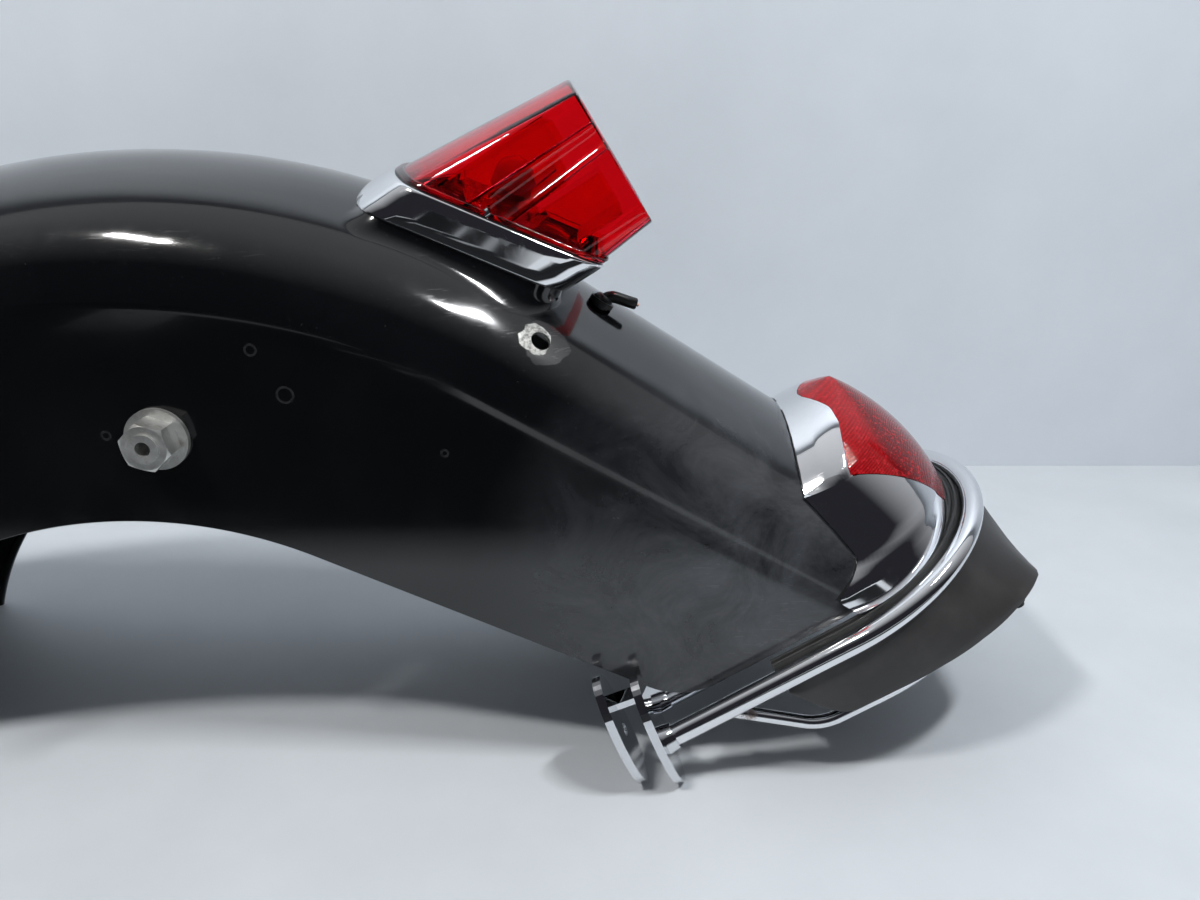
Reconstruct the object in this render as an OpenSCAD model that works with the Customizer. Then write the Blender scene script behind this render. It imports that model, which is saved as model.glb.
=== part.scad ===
// Motorcycle rear fender with its tail lamp, tip lamp and chrome bumper.
// Every piece is drawn in the level frame: origin on the wheel's axis, +X rearward,
// +Y towards the right-hand side of the machine's left view, +Z up, machine upright.
// settle() then tips the whole part by lean and sets it on the bench, as it lies at rest.

/* [Fender shell] */
// Radius of the crown line about the wheel's axis
crown_r = 435; // [420:1:450]
// Half of the shell's outside width
half_w = 100; // [92:1:108]
// Radius of the section across the crown
section_r = 120; // [112:1:130]
// Radius of the section at the shoulders
shoulder_r = 58; // [52:1:64]
// Thickness of the pressed sheet
wall = 2; // [1.5:0.25:3]
// Angle from the top at which the crown runs on straight
tail_angle = 64; // [62:0.5:66]
// Radius of the side wall's lower edge about the wheel's axis
edge_r = 242; // [230:1:252]
// Slope of the lower edge's straight stretch
edge_slope = 56.5; // [54:0.5:59]
// Radius of the rounded lower corner
corner_r = 40; // [30:1:48]
// Height of the level cut at the shell's rear end
cut_z = -58; // [-62:1:-54]
// Depth of the turned-in hem along the lower edge
hem_h = 5; // [3:0.5:8]
// Thickness that the turned-in hem adds
hem_t = 2; // [1:0.25:3]
// Diameter of the turn-signal bar's bolt holes
signal_hole_d = 11; // [8:0.5:13]
// Distance of those holes from the middle of the crown
signal_y = 76; // [70:1:82]
// Distance of those holes along the straight tail
signal_s = 14; // [10:1:22]
// Diameter of the front fixing holes
front_hole_d = 9; // [6:0.5:11]
// Half of the distance between the front fixing holes
front_hole_y = 30; // [20:1:40]

/* [Support hardware] */
// Distance of the support studs behind the wheel's axis
stud_x = 175; // [165:1:185]
// Height of the support studs above the wheel's axis
stud_z = 234; // [228:1:242]
// Outside diameter of the threaded stud
stud_d = 15.9; // [14:0.1:17]
// Diameter of the thread inside the stud
stud_bore_d = 8; // [6:0.1:9]
// Distance across the nut's flats
nut_af = 23.8; // [22:0.1:26]
// Height of the nut
nut_h = 14; // [10:0.5:16]
// Outside diameter of the washer
washer_d = 34; // [30:0.5:40]
// Thickness of the washer
washer_t = 3; // [2:0.25:4]

/* [Tail lamp] */
// Half of the lamp base's width
lamp_half_w = 62; // [58:1:66]
// Height of the lamp from its underside to its top
lamp_h = 109; // [105:1:113]
// Radius of the lamp's arched top
lamp_arch_r = 130; // [110:1:150]
// Radius of the lamp's upper corners
lamp_corner_r = 16; // [12:1:22]
// Angle of the base's upper front edge above the wheel's level line
lamp_a = 39.84; // [39:0.01:41]
// Height of that edge above the crown line
lamp_rise = 13; // [11:0.5:15]
// Slope of the joint between the base and the lens
lamp_slope = 54.5; // [52:0.5:57]
// Height of the chrome base across that joint
base_h = 22; // [18:1:26]
// Wall of the chrome base
base_wall = 3; // [2:0.5:4]
// Distance of the lens's rear face behind the base's upper front edge
lens_l = 112; // [104:1:118]
// Wall of the lenses
lens_wall = 2.5; // [2:0.25:3.5]
// Draft of the lens towards its rear face
lens_draft = 6; // [3:0.5:8]
// Thickness of the seal under the lens
seal_t = 1; // [0.5:0.25:2]
// Flare of the painted boss where it meets the crown
boss_flare = 10; // [6:1:12]

/* [Tip lamp] */
// Height of the housing's upper edge on the crown
tip_top_z = 38; // [34:1:42]
// Height of the housing's side points
tip_point_z = 9; // [5:1:13]
// Reach of the housing behind the crown line, level with the wheel's axis
tip_reach = 47; // [44:0.5:48.5]
// Wall of the cast housing
tip_wall = 2.5; // [2:0.25:3.5]
// Height of the casting's edge over the paint
tip_lip = 2; // [1.5:0.25:3]

/* [Bumper] */
// Distance of the upper rail's side lines outside the shell
rail_out = 12; // [11:0.5:14]
// Diameter of the upper rail
rail_d = 12.7; // [10:0.1:14]
// Diameter of the lower rail
low_rail_d = 8; // [6:0.5:9]
// Height of the upper rail's centre line
rail_z = -68; // [-70:0.5:-67]
// Height of the lower rail's centre line
low_rail_z = -111; // [-116:1:-106]
// Distance from the centre of the rails' round end to the tip lamp's rearmost point
rail_back = 99; // [97:0.5:101]
// Distance of the upper rail's front ends behind the wheel's axis
rail_front_x = 312; // [306:1:318]
// Thickness of the filler panel
filler_t = 2.5; // [2:0.25:3.5]
// Outward flare of the filler panel at the rear
filler_flare = 13; // [8:1:18]
// Drop of the filler panel's lower edge at the rear
filler_drop = 20; // [12:1:24]

/* [Brackets] */
// Height of the oval flange plates
plate_h = 76; // [70:1:84]
// Width of the oval flange plates
plate_w = 36; // [30:1:42]
// Thickness of the flange plates
plate_t = 5; // [4:0.5:6]
// Clear distance between the two plates at the bolt hole
plate_gap = 15; // [12:0.5:18]
// Lean of the plates from upright
plate_lean = 9; // [6:0.5:12]
// Diameter of the bolt hole in the front plate
plate_hole_d = 9; // [7:0.5:11]

/* [Hidden] */
// Angle by which the machine's level line rises towards the rear at rest
lean = 32;
// Running clearances: a seated face, a bolt in its hole, a nut on its thread
seat = 0.25;
bolt_clear = 0.4;
thread_clear = 0.05;
// A bent bar is this much thicker in its bends, and its straight runs reach this far in
bend_swell = 0.1;
bend_lap = 1;
$fn = 48;

// Shell section: the angle at which crown and shoulder arcs meet, and their depth
join_a = asin((half_w - shoulder_r) / (section_r - shoulder_r));
shoulder_c = section_r - (section_r - shoulder_r) * cos(join_a);
// Crown line's tangent point, and its direction from there on
tail_start = [crown_r * sin(tail_angle), crown_r * cos(tail_angle)];
tail_l = 330;
floor_depth = 150;

// Length of the stud outside the shell
stud_l = washer_t + nut_h + 1.5;

// Lead near the lamp: its place on the tail and the sizes of its pieces
lead_s = 36;
lead_y = 23;
lead_d = 7;
lead_rise = 5;
lead_out = 13;
lead_bend_r = 8;
lead_bend_a = 55;
lead_turn = 190;
core_d = 1.8;
grommet_d = 15;
grommet_neck_d = 11;
// Wiring hole under the lamp: its angle above the wheel's level line
wiring_a = 32;
wiring_d = 14;

// Tail lamp details
lamp_x = (crown_r + lamp_rise) * cos(lamp_a);
lamp_top_z = (crown_r + lamp_rise) * sin(lamp_a);
lamp_low_z = lamp_top_z - lamp_h;
lens_x = lamp_x + lens_l;
lens_inset = 3;
channel_y = lamp_half_w - 2;
channel_z = lamp_top_z - 51;
channel_x = lamp_x + 38;
channel_d = 16;
screw_y = channel_y - 3.5;
screw_d = 4;
screw_head_d = 8;
screw_post_d = 10;
plate_off = -9;
socket_d = 21;
bulb_cap_d = 15;
bulb_d = 24;

// Tip lamp details
tip_x = crown_r / sin(tail_angle) + tip_reach;
tip_arch_r = half_w + 10;
tip_notch_z = -35;
tip_notch_y = half_w - 13.5;
tip_foot_z = -46;
tip_foot_y = half_w - 1.3;
tip_low_z = cut_z - 4;
tip_bulge = 0.0038;
tip_lens_r = 78;
window_knee_y = half_w - 44;
window_point = [half_w - 29, 5];
window_foot = [half_w - 57, -55];
tip_seal_t = 0.8;
tip_bulb_s = 222;

// Bumper details
rail_x = tip_x - rail_back;
rail_half_w = half_w + rail_out;
low_bend_x = rail_x - 28;
low_slope = 42;
low_bend_r = 30;
filler_front_x = rail_x - 44;
trim_front_x = rail_x - 82;
screw_a = 34;

// Bracket plates: middle of the rear plate's rear face, and the height of both above the bench
plate_x = rail_front_x;
plate_z = rail_z + 8;
spread_x = plate_gap + plate_t;

// The front plate sits this much higher, so that both rest on the bench
plate_rise = spread_x * tan(lean - plate_lean);

// The bench height: the plates' lowest corners touch it
lift = -(plate_x * sin(lean) + plate_z * cos(lean)
    - plate_h / 2 * cos(lean - plate_lean) - plate_t * sin(lean - plate_lean));
// Ends of the whole part at rest, for an origin in the middle of its base
front_end = -sqrt(crown_r * crown_r - lift * lift);
filler_r = rail_half_w + filler_t / 2 + 0.6;
low_edge_z = low_rail_z + low_rail_d / 2;
rear_end = (rail_x + filler_r + filler_flare) * cos(lean) - (low_edge_z - filler_drop) * sin(lean);
shift = -(front_end + rear_end) / 2;
arc_end = 90 + acos(-lift / crown_r) - lean + 4;

// Tips a level piece by lean and sets it on the bench
module settle() {
    translate([shift, 0, lift]) rotate([0, -lean, 0]) children();
}

// One copy on each side of the middle plane
module both_sides() {
    children();
    mirror([0, 1, 0]) children();
}

// Places a piece on the straight tail: s down the crown line, y across, h above the line.
// Its own +Z then points out of the crown and its +X down the tail.
module on_tail(s, y = 0, h = 0) {
    out = [sin(tail_angle), cos(tail_angle)];
    translate([tail_start[0] + s * out[1] + h * out[0], y, tail_start[1] - s * out[0] + h * out[1]])
        rotate([0, tail_angle, 0]) children();
}

// Half outline of an arch: a crown arc of radius r and shoulders of radius c, inset by d,
// with a flat across the middle. Each point is [depth below the top, distance from the middle].
function arch_half(w, r, c, d, steps) =
    let (a = asin((w - c) / (r - c)), deep = r - (r - c) * cos(a))
    concat(
        [for (i = [0:steps]) let (t = a * (i + 0.5) / (steps + 0.5))
            [r - (r - d) * cos(t), (r - d) * sin(t)]],
        [for (i = [1:steps]) let (t = a + (90 - a) * i / steps)
            [deep - (c - d) * cos(t), w - c + (c - d) * sin(t)]]);

// Depth of the shell's surface below the crown line at distance y from the middle
function sag(y) = let (q = abs(y))
    q < section_r * sin(join_a) ? section_r - sqrt(section_r * section_r - q * q)
    : shoulder_c - sqrt(max(0, shoulder_r * shoulder_r - pow(q - half_w + shoulder_r, 2)));

// Distance behind the axis of the tail's surface at distance y and height z
function tail_x(y, z) = tail_start[0]
    + (tail_start[1] - z) / tan(tail_angle) - sag(y) / sin(tail_angle);

// The shell's arch from one foot to the other, inset by d, as [radius, distance across]
function shell_arch(d) =
    let (half = [for (p = arch_half(half_w, section_r, shoulder_r, d, 7)) [crown_r - p[0], p[1]]],
        n = len(half) - 1)
    concat([[floor_depth, -half_w + d]], [for (i = [n:-1:0]) [half[i][0], -half[i][1]]],
        half, [[floor_depth, half_w - d]]);

// Closed outline of the sheet between the insets from and to
function sheet_section(from, to) =
    let (inner = shell_arch(to))
    concat(shell_arch(from), [for (i = [len(inner) - 1:-1:0]) inner[i]]);

// A section turned about the wheel's axis over the crown
module over_wheel(section) {
    rotate([90, 0, 0]) rotate([0, 0, 90 - tail_angle])
        rotate_extrude(angle = arc_end - 90 + tail_angle, $fn = 96) polygon(section);
}

// A section run straight down the tail
module down_tail(section) {
    rotate([90, 0, 0]) rotate([0, 0, 90 - tail_angle]) rotate([90, 0, 0])
        linear_extrude(tail_l) polygon(section);
}

// The fender's form as a solid, inset by d
module fender_form(d) {
    over_wheel(shell_arch(d));
    down_tail(shell_arch(d));
}

// Side outline above the lower edge, the edge raised by d
module side_outline(d) {
    far = 1.4 * crown_r;
    start = 90 - edge_slope;
    end = arc_end + 6;
    normal = [sin(edge_slope), cos(edge_slope)];
    tangent = edge_r * [cos(start), sin(start)];
    corner_z = cut_z + corner_r;
    corner_x = tangent[0] + (corner_r - (corner_z - tangent[1]) * normal[1]) / normal[0];
    rotate([90, 0, 0]) linear_extrude(2 * half_w + 20, center = true) polygon(concat(
        [for (i = [0:24]) let (a = end + (start - end) * i / 24)
            (edge_r + d) * [cos(a), sin(a)]],
        [for (i = [0:8]) let (a = 270 - edge_slope * (1 - i / 8))
            [corner_x, corner_z] + (corner_r - d) * [cos(a), sin(a)]],
        [[far, cut_z + d], [far, far], [-far, far]]));
}

// Everything below the bench, which trims the shell's front end level at rest
module below_bench() {
    reach = 2 * crown_r;
    rotate([0, lean, 0]) translate([-reach, -2 * half_w, -lift - reach])
        cube([2 * reach, 4 * half_w, reach]);
}

// Places a bore through the shoulder: its own +Z points out of the shell at distance y
module on_shoulder(s, y) {
    tilt = asin((y - half_w + shoulder_r) / shoulder_r);
    on_tail(s, -y, -sag(y)) rotate([tilt, 0, 0]) children();
}

module fender_shell() {
    front_a = arc_end - 14;
    thick = wall + hem_t;
    color("#101012") settle() {
        difference() {
            intersection() {
                over_wheel(sheet_section(0, thick));
                side_outline(0);
            }
            intersection() {
                over_wheel(sheet_section(wall, thick + 2));
                side_outline(hem_h);
            }
            below_bench();
            // Support studs
            translate([stud_x, 0, stud_z]) rotate([90, 0, 0])
                cylinder(d = stud_d + 2 * bolt_clear, h = 3 * half_w, center = true);
            // Wiring hole under the lamp
            rotate([0, -wiring_a, 0]) translate([crown_r - 20, 0, 0]) rotate([0, 90, 0])
                cylinder(d = wiring_d, h = 40);
            // Front fixings
            for (y = [-front_hole_y, front_hole_y]) rotate([0, -front_a, 0])
                translate([crown_r - 20, y, 0]) rotate([0, 90, 0])
                cylinder(d = front_hole_d, h = 40);
        }
        difference() {
            intersection() {
                down_tail(sheet_section(0, thick));
                side_outline(0);
            }
            intersection() {
                down_tail(sheet_section(wall, thick + 2));
                side_outline(hem_h);
            }
            // Turn-signal bar
            both_sides() on_shoulder(signal_s, signal_y)
                cylinder(d = signal_hole_d, h = 20, center = true);
            // Lead
            on_tail(lead_s, -lead_y) cylinder(d = grommet_neck_d + 2 * seat, h = 30, center = true);
        }
    }
}

// Support hardware: a flanged sleeve through the side wall, its washer and its nut
module on_stud() {
    both_sides() translate([stud_x, -half_w, stud_z]) rotate([90, 0, 0]) children();
}

module support_studs() {
    head_t = 4;
    bore_depth = 17;
    color("#8f8f8c") settle() on_stud() difference() {
        union() {
            translate([0, 0, -wall - head_t]) cylinder(d = stud_d + 12, h = head_t);
            translate([0, 0, -wall - head_t]) cylinder(d = stud_d, h = head_t + wall + stud_l);
        }
        translate([0, 0, stud_l - bore_depth]) cylinder(d = stud_bore_d, h = bore_depth + 1);
    }
}

module support_washers() {
    color("#a2a29e") settle() on_stud() difference() {
        cylinder(d = washer_d, h = washer_t);
        translate([0, 0, -1]) cylinder(d = stud_d + 2 * bolt_clear, h = washer_t + 2);
    }
}

module support_nuts() {
    bevel = 1.2;
    color("#9a9a96") settle() on_stud() translate([0, 0, washer_t]) difference() {
        intersection() {
            rotate([0, 0, 12]) cylinder(d = nut_af / cos(30), h = nut_h, $fn = 6);
            union() {
                cylinder(d = nut_af / cos(30) + 0.2, h = nut_h - bevel);
                translate([0, 0, nut_h - bevel])
                    cylinder(d1 = nut_af / cos(30) + 0.2, d2 = nut_af, h = bevel);
            }
        }
        translate([0, 0, -1]) cylinder(d = stud_d + 2 * thread_clear, h = nut_h + 2);
    }
}

// Lamp outline seen from behind as [y, z], inset by d: arched top, rounded lower corners
function lamp_outline(d) =
    let (half = concat(
        [for (p = arch_half(lamp_half_w, lamp_arch_r, lamp_corner_r, d, 5)) [p[1], lamp_top_z - p[0]]],
        [for (i = [0:4]) let (t = -90 * i / 4)
            [lamp_half_w - lamp_corner_r + (lamp_corner_r - d) * cos(t),
            lamp_low_z + lamp_corner_r + (lamp_corner_r - d) * sin(t)]]))
    concat(half, [for (i = [len(half) - 1:-1:0]) [-half[i][0], half[i][1]]]);

// Distance behind the axis of the lamp's sloping joint plane at height z, moved out by off
function joint_x(z, off) = lamp_x + (off - (z - lamp_top_z) * cos(lamp_slope)) / sin(lamp_slope);

// Closed skin over a list of rings that all have the same number of points
module skin(rings) {
    n = len(rings[0]);
    m = len(rings);
    polyhedron([for (ring = rings) each ring], concat(
        [[for (i = [0:n - 1]) i]],
        [[for (i = [n - 1:-1:0]) (m - 1) * n + i]],
        [for (k = [0:m - 2]) for (i = [0:n - 1]) let (j = (i + 1) % n)
            each [[k * n + i, (k + 1) * n + i, (k + 1) * n + j], [k * n + i, (k + 1) * n + j, k * n + j]]]));
}

// The lamp outline run rearward between two offsets of the joint plane
module lamp_prism(d, from, to) {
    intersection() {
        rotate([90, 0, 90]) linear_extrude(lens_x + 60) polygon(lamp_outline(d));
        translate([lamp_x, 0, lamp_top_z]) rotate([0, lamp_slope, 0])
            translate([-2 * lamp_h, -2 * lamp_half_w, from])
            cube([4 * lamp_h, 4 * lamp_half_w, to - from]);
    }
}

// Painted pad: the lamp outline flared out to the crown
module lamp_boss() {
    rings = [for (k = [[0, 1], [3, 1.2], [8, -0.3 * boss_flare], [15, -0.75 * boss_flare],
        [25, -boss_flare], [45, -boss_flare - 1]])
        [for (p = lamp_outline(k[1])) [joint_x(p[1], -base_h - k[0]), p[0], p[1]]]];
    color("#0e0e10") settle() difference() {
        skin(rings);
        fender_form(-seat - bend_swell);
        lamp_prism(lamp_corner_r - 4, -base_h - 60, 0);
    }
}

module lamp_base() {
    color("#d8dadc") settle() difference() {
        union() {
            difference() {
                lamp_prism(0, -base_h, 0);
                lamp_prism(base_wall, plate_off, 1);
                lamp_prism(base_wall, -base_h - 1, plate_off - base_wall);
            }
            intersection() {
                lamp_prism(1, plate_off - base_wall, 0);
                on_lamp_screws() cylinder(d = screw_post_d, h = 60, center = true);
            }
        }
        fender_form(-seat);
        on_lamp_axis() cylinder(d = socket_d + 2 * seat, h = 80, center = true);
        on_lamp_screws() translate([0, 0, -13]) cylinder(d = screw_d + 2 * thread_clear, h = 30);
    }
}

// Frames of the two screws: origin on the lens's channel floor, +Z towards the rear
module on_lamp_screws() {
    both_sides() translate([channel_x, -screw_y, channel_z]) rotate([0, 90, 0]) children();
}

// Frame of the lamp bulb: origin in the joint plane's middle, +Z out of it
module on_lamp_axis() {
    mid_z = (lamp_top_z + lamp_low_z) / 2;
    translate([joint_x(mid_z, 0), 0, mid_z]) rotate([0, lamp_slope, 0]) children();
}

module lamp_seal() {
    color("#141414") settle() difference() {
        lamp_prism(lens_inset - 1, 0, seal_t);
        lamp_prism(lens_inset + lens_wall + 1, -1, seal_t + 1);
        on_lamp_screws() cylinder(d = screw_d + 2 * bolt_clear, h = 60, center = true);
    }
}

// Ring of the lens at the joint plane, and the drafted ring at distance x
function lens_front(d, off) =
    [for (p = lamp_outline(lens_inset + d)) [joint_x(p[1], off), p[0], p[1]]];
function lens_ring(d, x, bevel) = let (base = lamp_outline(lens_inset + d))
    [for (i = [0:len(base) - 1])
        let (q = lamp_outline(lens_inset + d + bevel
            + (x - joint_x(base[i][1], 0)) * tan(lens_draft))[i]) [x, q[0], q[1]]];

// Screw channel along each side of the lens
module lens_channel(d, from) {
    both_sides() translate([from, -channel_y, channel_z]) rotate([0, 90, 0])
        cylinder(d = d, h = lens_x - from + 20);
}

module lamp_lens() {
    bevel = 1.5;
    color("#b0101c") settle() difference() {
        skin([lens_ring(0, lens_x, bevel), lens_ring(0, lens_x - bevel, 0), lens_front(0, seal_t)]);
        difference() {
            skin([lens_ring(lens_wall, lens_x - lens_wall, 0), lens_front(lens_wall, -1)]);
            lens_channel(channel_d + 2 * lens_wall, channel_x - lens_wall);
        }
        lens_channel(channel_d, channel_x);
        on_lamp_screws() cylinder(d = screw_d + 2 * bolt_clear, h = 60, center = true);
    }
}

module lamp_screws() {
    color("#c8cacc") settle() on_lamp_screws() difference() {
        union() {
            cylinder(d = screw_head_d, h = 3);
            translate([0, 0, -12]) cylinder(d = screw_d, h = 13);
        }
        translate([0, 0, 2]) for (a = [0, 90]) rotate([0, 0, a])
            translate([-2.5, -0.6, 0]) cube([5, 1.2, 3]);
    }
}

// Reflector plate across the base, with a dish around the bulb
module lamp_reflector() {
    color("#cfd2d4") settle() difference() {
        union() {
            lamp_prism(base_wall + seat, plate_off, plate_off + 1.5);
            on_lamp_axis() translate([0, 0, -8]) cylinder(d1 = 36, d2 = 56, h = 16);
        }
        on_lamp_axis() translate([0, 0, -6.5]) cylinder(d1 = 33.4, d2 = 53.6, h = 15);
        on_lamp_axis() cylinder(d = socket_d + 2 * seat, h = 80, center = true);
        on_lamp_screws() cylinder(d = screw_post_d + 2 * seat, h = 60, center = true);
    }
}

module lamp_socket() {
    color("#8c8c88") settle() on_lamp_axis() difference() {
        translate([0, 0, -12]) cylinder(d = socket_d, h = 16);
        translate([0, 0, -6]) cylinder(d = bulb_cap_d + 2 * seat, h = 20);
    }
}

module lamp_bulb() {
    color("#e8e8e6") settle() on_lamp_axis() translate([0, 0, -6]) {
        cylinder(d = bulb_cap_d, h = 14);
        translate([0, 0, 14]) cylinder(d1 = bulb_cap_d - 2, d2 = bulb_d, h = 5);
        translate([0, 0, 19]) cylinder(d = bulb_d, h = 8);
        translate([0, 0, 27]) intersection() {
            sphere(d = bulb_d);
            cylinder(d = bulb_d + 1, h = bulb_d);
        }
    }
}

// Lead: a grommet in the crown and the cut end of a cable with two cores
module lead_grommet() {
    color("#2a2a2c") settle() on_tail(lead_s, -lead_y, -sag(lead_y)) difference() {
        union() {
            translate([0, 0, 0.6]) cylinder(d = grommet_d, h = 3);
            translate([0, 0, -wall - 2]) cylinder(d = grommet_neck_d, h = wall + 3);
            translate([0, 0, -wall - 4.6]) cylinder(d = grommet_d, h = 2);
        }
        translate([0, 0, -20]) cylinder(d = lead_d + 2 * thread_clear, h = 40);
    }
}

// Frame of the lead: origin on the crown, +Z out of it, its bend turned towards the rear
module along_lead() {
    on_tail(lead_s, -lead_y, -sag(lead_y)) rotate([0, 0, lead_turn]) children();
}

// Frame of the lead's cut end, +Z out of the cut
module at_lead_end() {
    translate([-lead_bend_r, 0, lead_rise]) rotate([0, -lead_bend_a, 0])
        translate([lead_bend_r, 0, lead_out]) children();
}

module lead_path(d) {
    lap = bend_lap / 2;
    translate([0, 0, -12]) cylinder(d = d, h = 12 + lead_rise + lap);
    translate([-lead_bend_r, 0, lead_rise]) {
        rotate([90, 0, 0]) rotate_extrude(angle = lead_bend_a, $fn = 96)
            translate([lead_bend_r, 0]) circle(d = d + bend_swell);
        rotate([0, -lead_bend_a, 0]) translate([lead_bend_r, 0, -lap])
            cylinder(d = d, h = lead_out + lap);
    }
}

module lead_stub() {
    color("#0c0c0c") settle() along_lead() difference() {
        lead_path(lead_d);
        at_lead_end() for (y = [-1.5, 1.5]) translate([0, y, -3])
            cylinder(d = core_d + 2 * thread_clear, h = 6);
    }
}

module lead_cores() {
    color("#b06a3c") settle() along_lead() at_lead_end() for (y = [-1.5, 1.5])
        translate([0, y, -3]) cylinder(d = core_d, h = 3.6);
}

// Half width of the tip housing where its edge lies on the paint, at height z
function tip_half(z) =
    z >= tip_point_z ? sqrt(max(0, pow(tip_arch_r, 2) - pow(tip_arch_r - tip_top_z + z, 2)))
    : z >= tip_notch_z ? tip_notch_y + (tip_half(tip_point_z) - tip_notch_y)
        * (z - tip_notch_z) / (tip_point_z - tip_notch_z)
    : z >= tip_foot_z ? tip_foot_y + (tip_notch_y - tip_foot_y)
        * (z - tip_foot_z) / (tip_notch_z - tip_foot_z)
    : tip_foot_y;

// Level section of the tip housing at height z, inset by d
function tip_ring(z, d) =
    let (y = tip_half(z), x = tail_x(y, z), reach = tip_x - tip_bulge * pow(z + 50, 2) - d - x)
    [for (i = [0:24]) let (a = -90 + 180 * i / 24) [x + reach * cos(a), (y + tip_lip - d) * sin(a), z]];

module tip_form(d, low) {
    levels = concat([low, tip_foot_z, (tip_foot_z + tip_notch_z) / 2],
        [for (i = [0:4]) tip_notch_z + (tip_point_z - tip_notch_z) * i / 4],
        [for (i = [1:6]) tip_point_z + (tip_top_z - d - tip_point_z) * sin(90 * i / 6)]);
    skin([for (z = levels) tip_ring(z, d)]);
}

// Lens window of the tip lamp seen from behind, shrunk by d
module tip_window(d) {
    half = concat(
        [for (i = [0:8]) let (y = window_knee_y * i / 8)
            [y, tip_top_z - 2 - d - tip_lens_r + sqrt(tip_lens_r * tip_lens_r - y * y)]],
        [window_point - d * [1.6, 0.4], window_foot - d * [1, -1]]);
    rotate([90, 0, 90]) translate([0, 0, rail_x + 8]) linear_extrude(rail_back + 20)
        polygon(concat(half, [for (i = [len(half) - 1:-1:1]) [-half[i][0], half[i][1]]]));
}

module tip_housing() {
    color("#d8dadc") settle() difference() {
        tip_form(0, tip_low_z);
        tip_form(tip_wall, tip_low_z - 10);
        fender_form(-tip_seal_t);
        tip_window(0);
    }
}

module tip_lens() {
    color("#a80f1a") settle() intersection() {
        difference() {
            tip_form(0, tip_low_z);
            tip_form(lens_wall, tip_low_z - 10);
            fender_form(-tip_seal_t);
        }
        tip_window(seat);
    }
}

module tip_seal() {
    color("#121212") settle() difference() {
        intersection() {
            tip_form(0.4, tip_low_z + 0.5);
            fender_form(-tip_seal_t + 0.1);
            side_outline(0);
        }
        tip_form(tip_wall, tip_low_z - 10);
        fender_form(0);
        translate([0, 0, tip_foot_z - 100]) cube([4 * crown_r, 4 * half_w, 200], center = true);
    }
}

module tip_socket() {
    color("#2c2c2c") settle() on_tail(tip_bulb_s) difference() {
        cylinder(d = 18, h = 8);
        translate([0, 0, 3]) cylinder(d = 10 + 2 * seat, h = 10);
    }
}

module tip_bulb() {
    color("#e8e8e6") settle() on_tail(tip_bulb_s) translate([0, 0, 3]) {
        cylinder(d = 10, h = 8);
        translate([0, 0, 8]) sphere(d = 10);
    }
}

// Round end of a rail: a half ring of radius r about the rails' centre at height z
module half_ring(r, z) {
    translate([rail_x, 0, z]) rotate([0, 0, -90]) rotate_extrude(angle = 180, $fn = 96)
        translate([r, 0]) children();
}

// Everything in front of the rear plates' rear faces
module before_plates() {
    translate([plate_x, 0, plate_z]) rotate([0, plate_lean, 0])
        translate([-60, -200, -80]) cube([60, 400, 160]);
}

module upper_rail() {
    front = rail_front_x - 6;
    color("#d8dadc") settle() difference() {
        union() {
            half_ring(rail_half_w, rail_z) circle(d = rail_d);
            both_sides() translate([front, -rail_half_w, rail_z]) rotate([0, 90, 0])
                cylinder(d = rail_d, h = rail_x - front);
        }
        before_plates();
    }
}

// Lower rail: round the rear, along both sides and up to a weld under the upper rail
module lower_rail() {
    r = filler_r - filler_t - low_rail_d / 2 - seat;
    rise = rail_z - low_rail_z - low_bend_r * (1 - cos(low_slope));
    color("#d8dadc") settle() difference() {
        union() {
            half_ring(r, low_rail_z) circle(d = low_rail_d);
            both_sides() translate([low_bend_x, -r, low_rail_z]) {
                translate([-bend_lap, 0, 0]) rotate([0, 90, 0])
                    cylinder(d = low_rail_d, h = rail_x - low_bend_x + bend_lap);
                translate([0, 0, low_bend_r]) {
                    rotate([90, 0, 0]) rotate([0, 0, -90 - low_slope])
                        rotate_extrude(angle = low_slope, $fn = 96) translate([low_bend_r, 0])
                        circle(d = low_rail_d + bend_swell);
                    rotate([0, low_slope, 0]) translate([bend_lap, 0, -low_bend_r])
                        rotate([0, -90, 0]) cylinder(d = low_rail_d, h = rise / sin(low_slope));
                }
            }
        }
        both_sides() translate([rail_front_x, -rail_half_w, rail_z]) rotate([0, 90, 0])
            cylinder(d = rail_d, h = rail_x - rail_front_x);
    }
}

// Welded collars where the upper rail meets the rear plates
module rail_collars() {
    front = rail_front_x - 4;
    color("#c9cbcd") settle() difference() {
        both_sides() translate([front, -rail_half_w, rail_z]) rotate([0, 90, 0]) difference() {
            cylinder(d1 = rail_d + 6, d2 = rail_d + 3, h = 9);
            translate([0, 0, -1]) cylinder(d = rail_d, h = 11);
        }
        before_plates();
    }
}

// Rubber trim between the shell and the upper rail, with a raised rib
module rail_trim() {
    outer = rail_half_w - rail_d / 2 - seat / 2;
    low = rail_z - 3;
    rear_h = tip_low_z - seat - low;
    side_h = cut_z - seat - low;
    color("#101010") settle() {
        half_ring(0, low) translate([outer - 9, 0]) square([9, rear_h]);
        both_sides() translate([trim_front_x, -outer, low]) cube([rail_x - trim_front_x, 9, side_h]);
        both_sides() translate([trim_front_x, -outer, low + side_h])
            cube([rail_x - trim_front_x, 3, 4]);
    }
}

// Filler panel: stations along one side, round the rear and back along the other
function filler_station(x, y, out, swell, low) =
    let (r = filler_r, f = filler_flare * swell, top = rail_z - rail_d / 2 - seat)
    [for (p = [[0, top], [f, low], [f - filler_t, low], [-filler_t, top]])
        [x + (r + p[0]) * out[0], y + (r + p[0]) * out[1], p[1]]];

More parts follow.
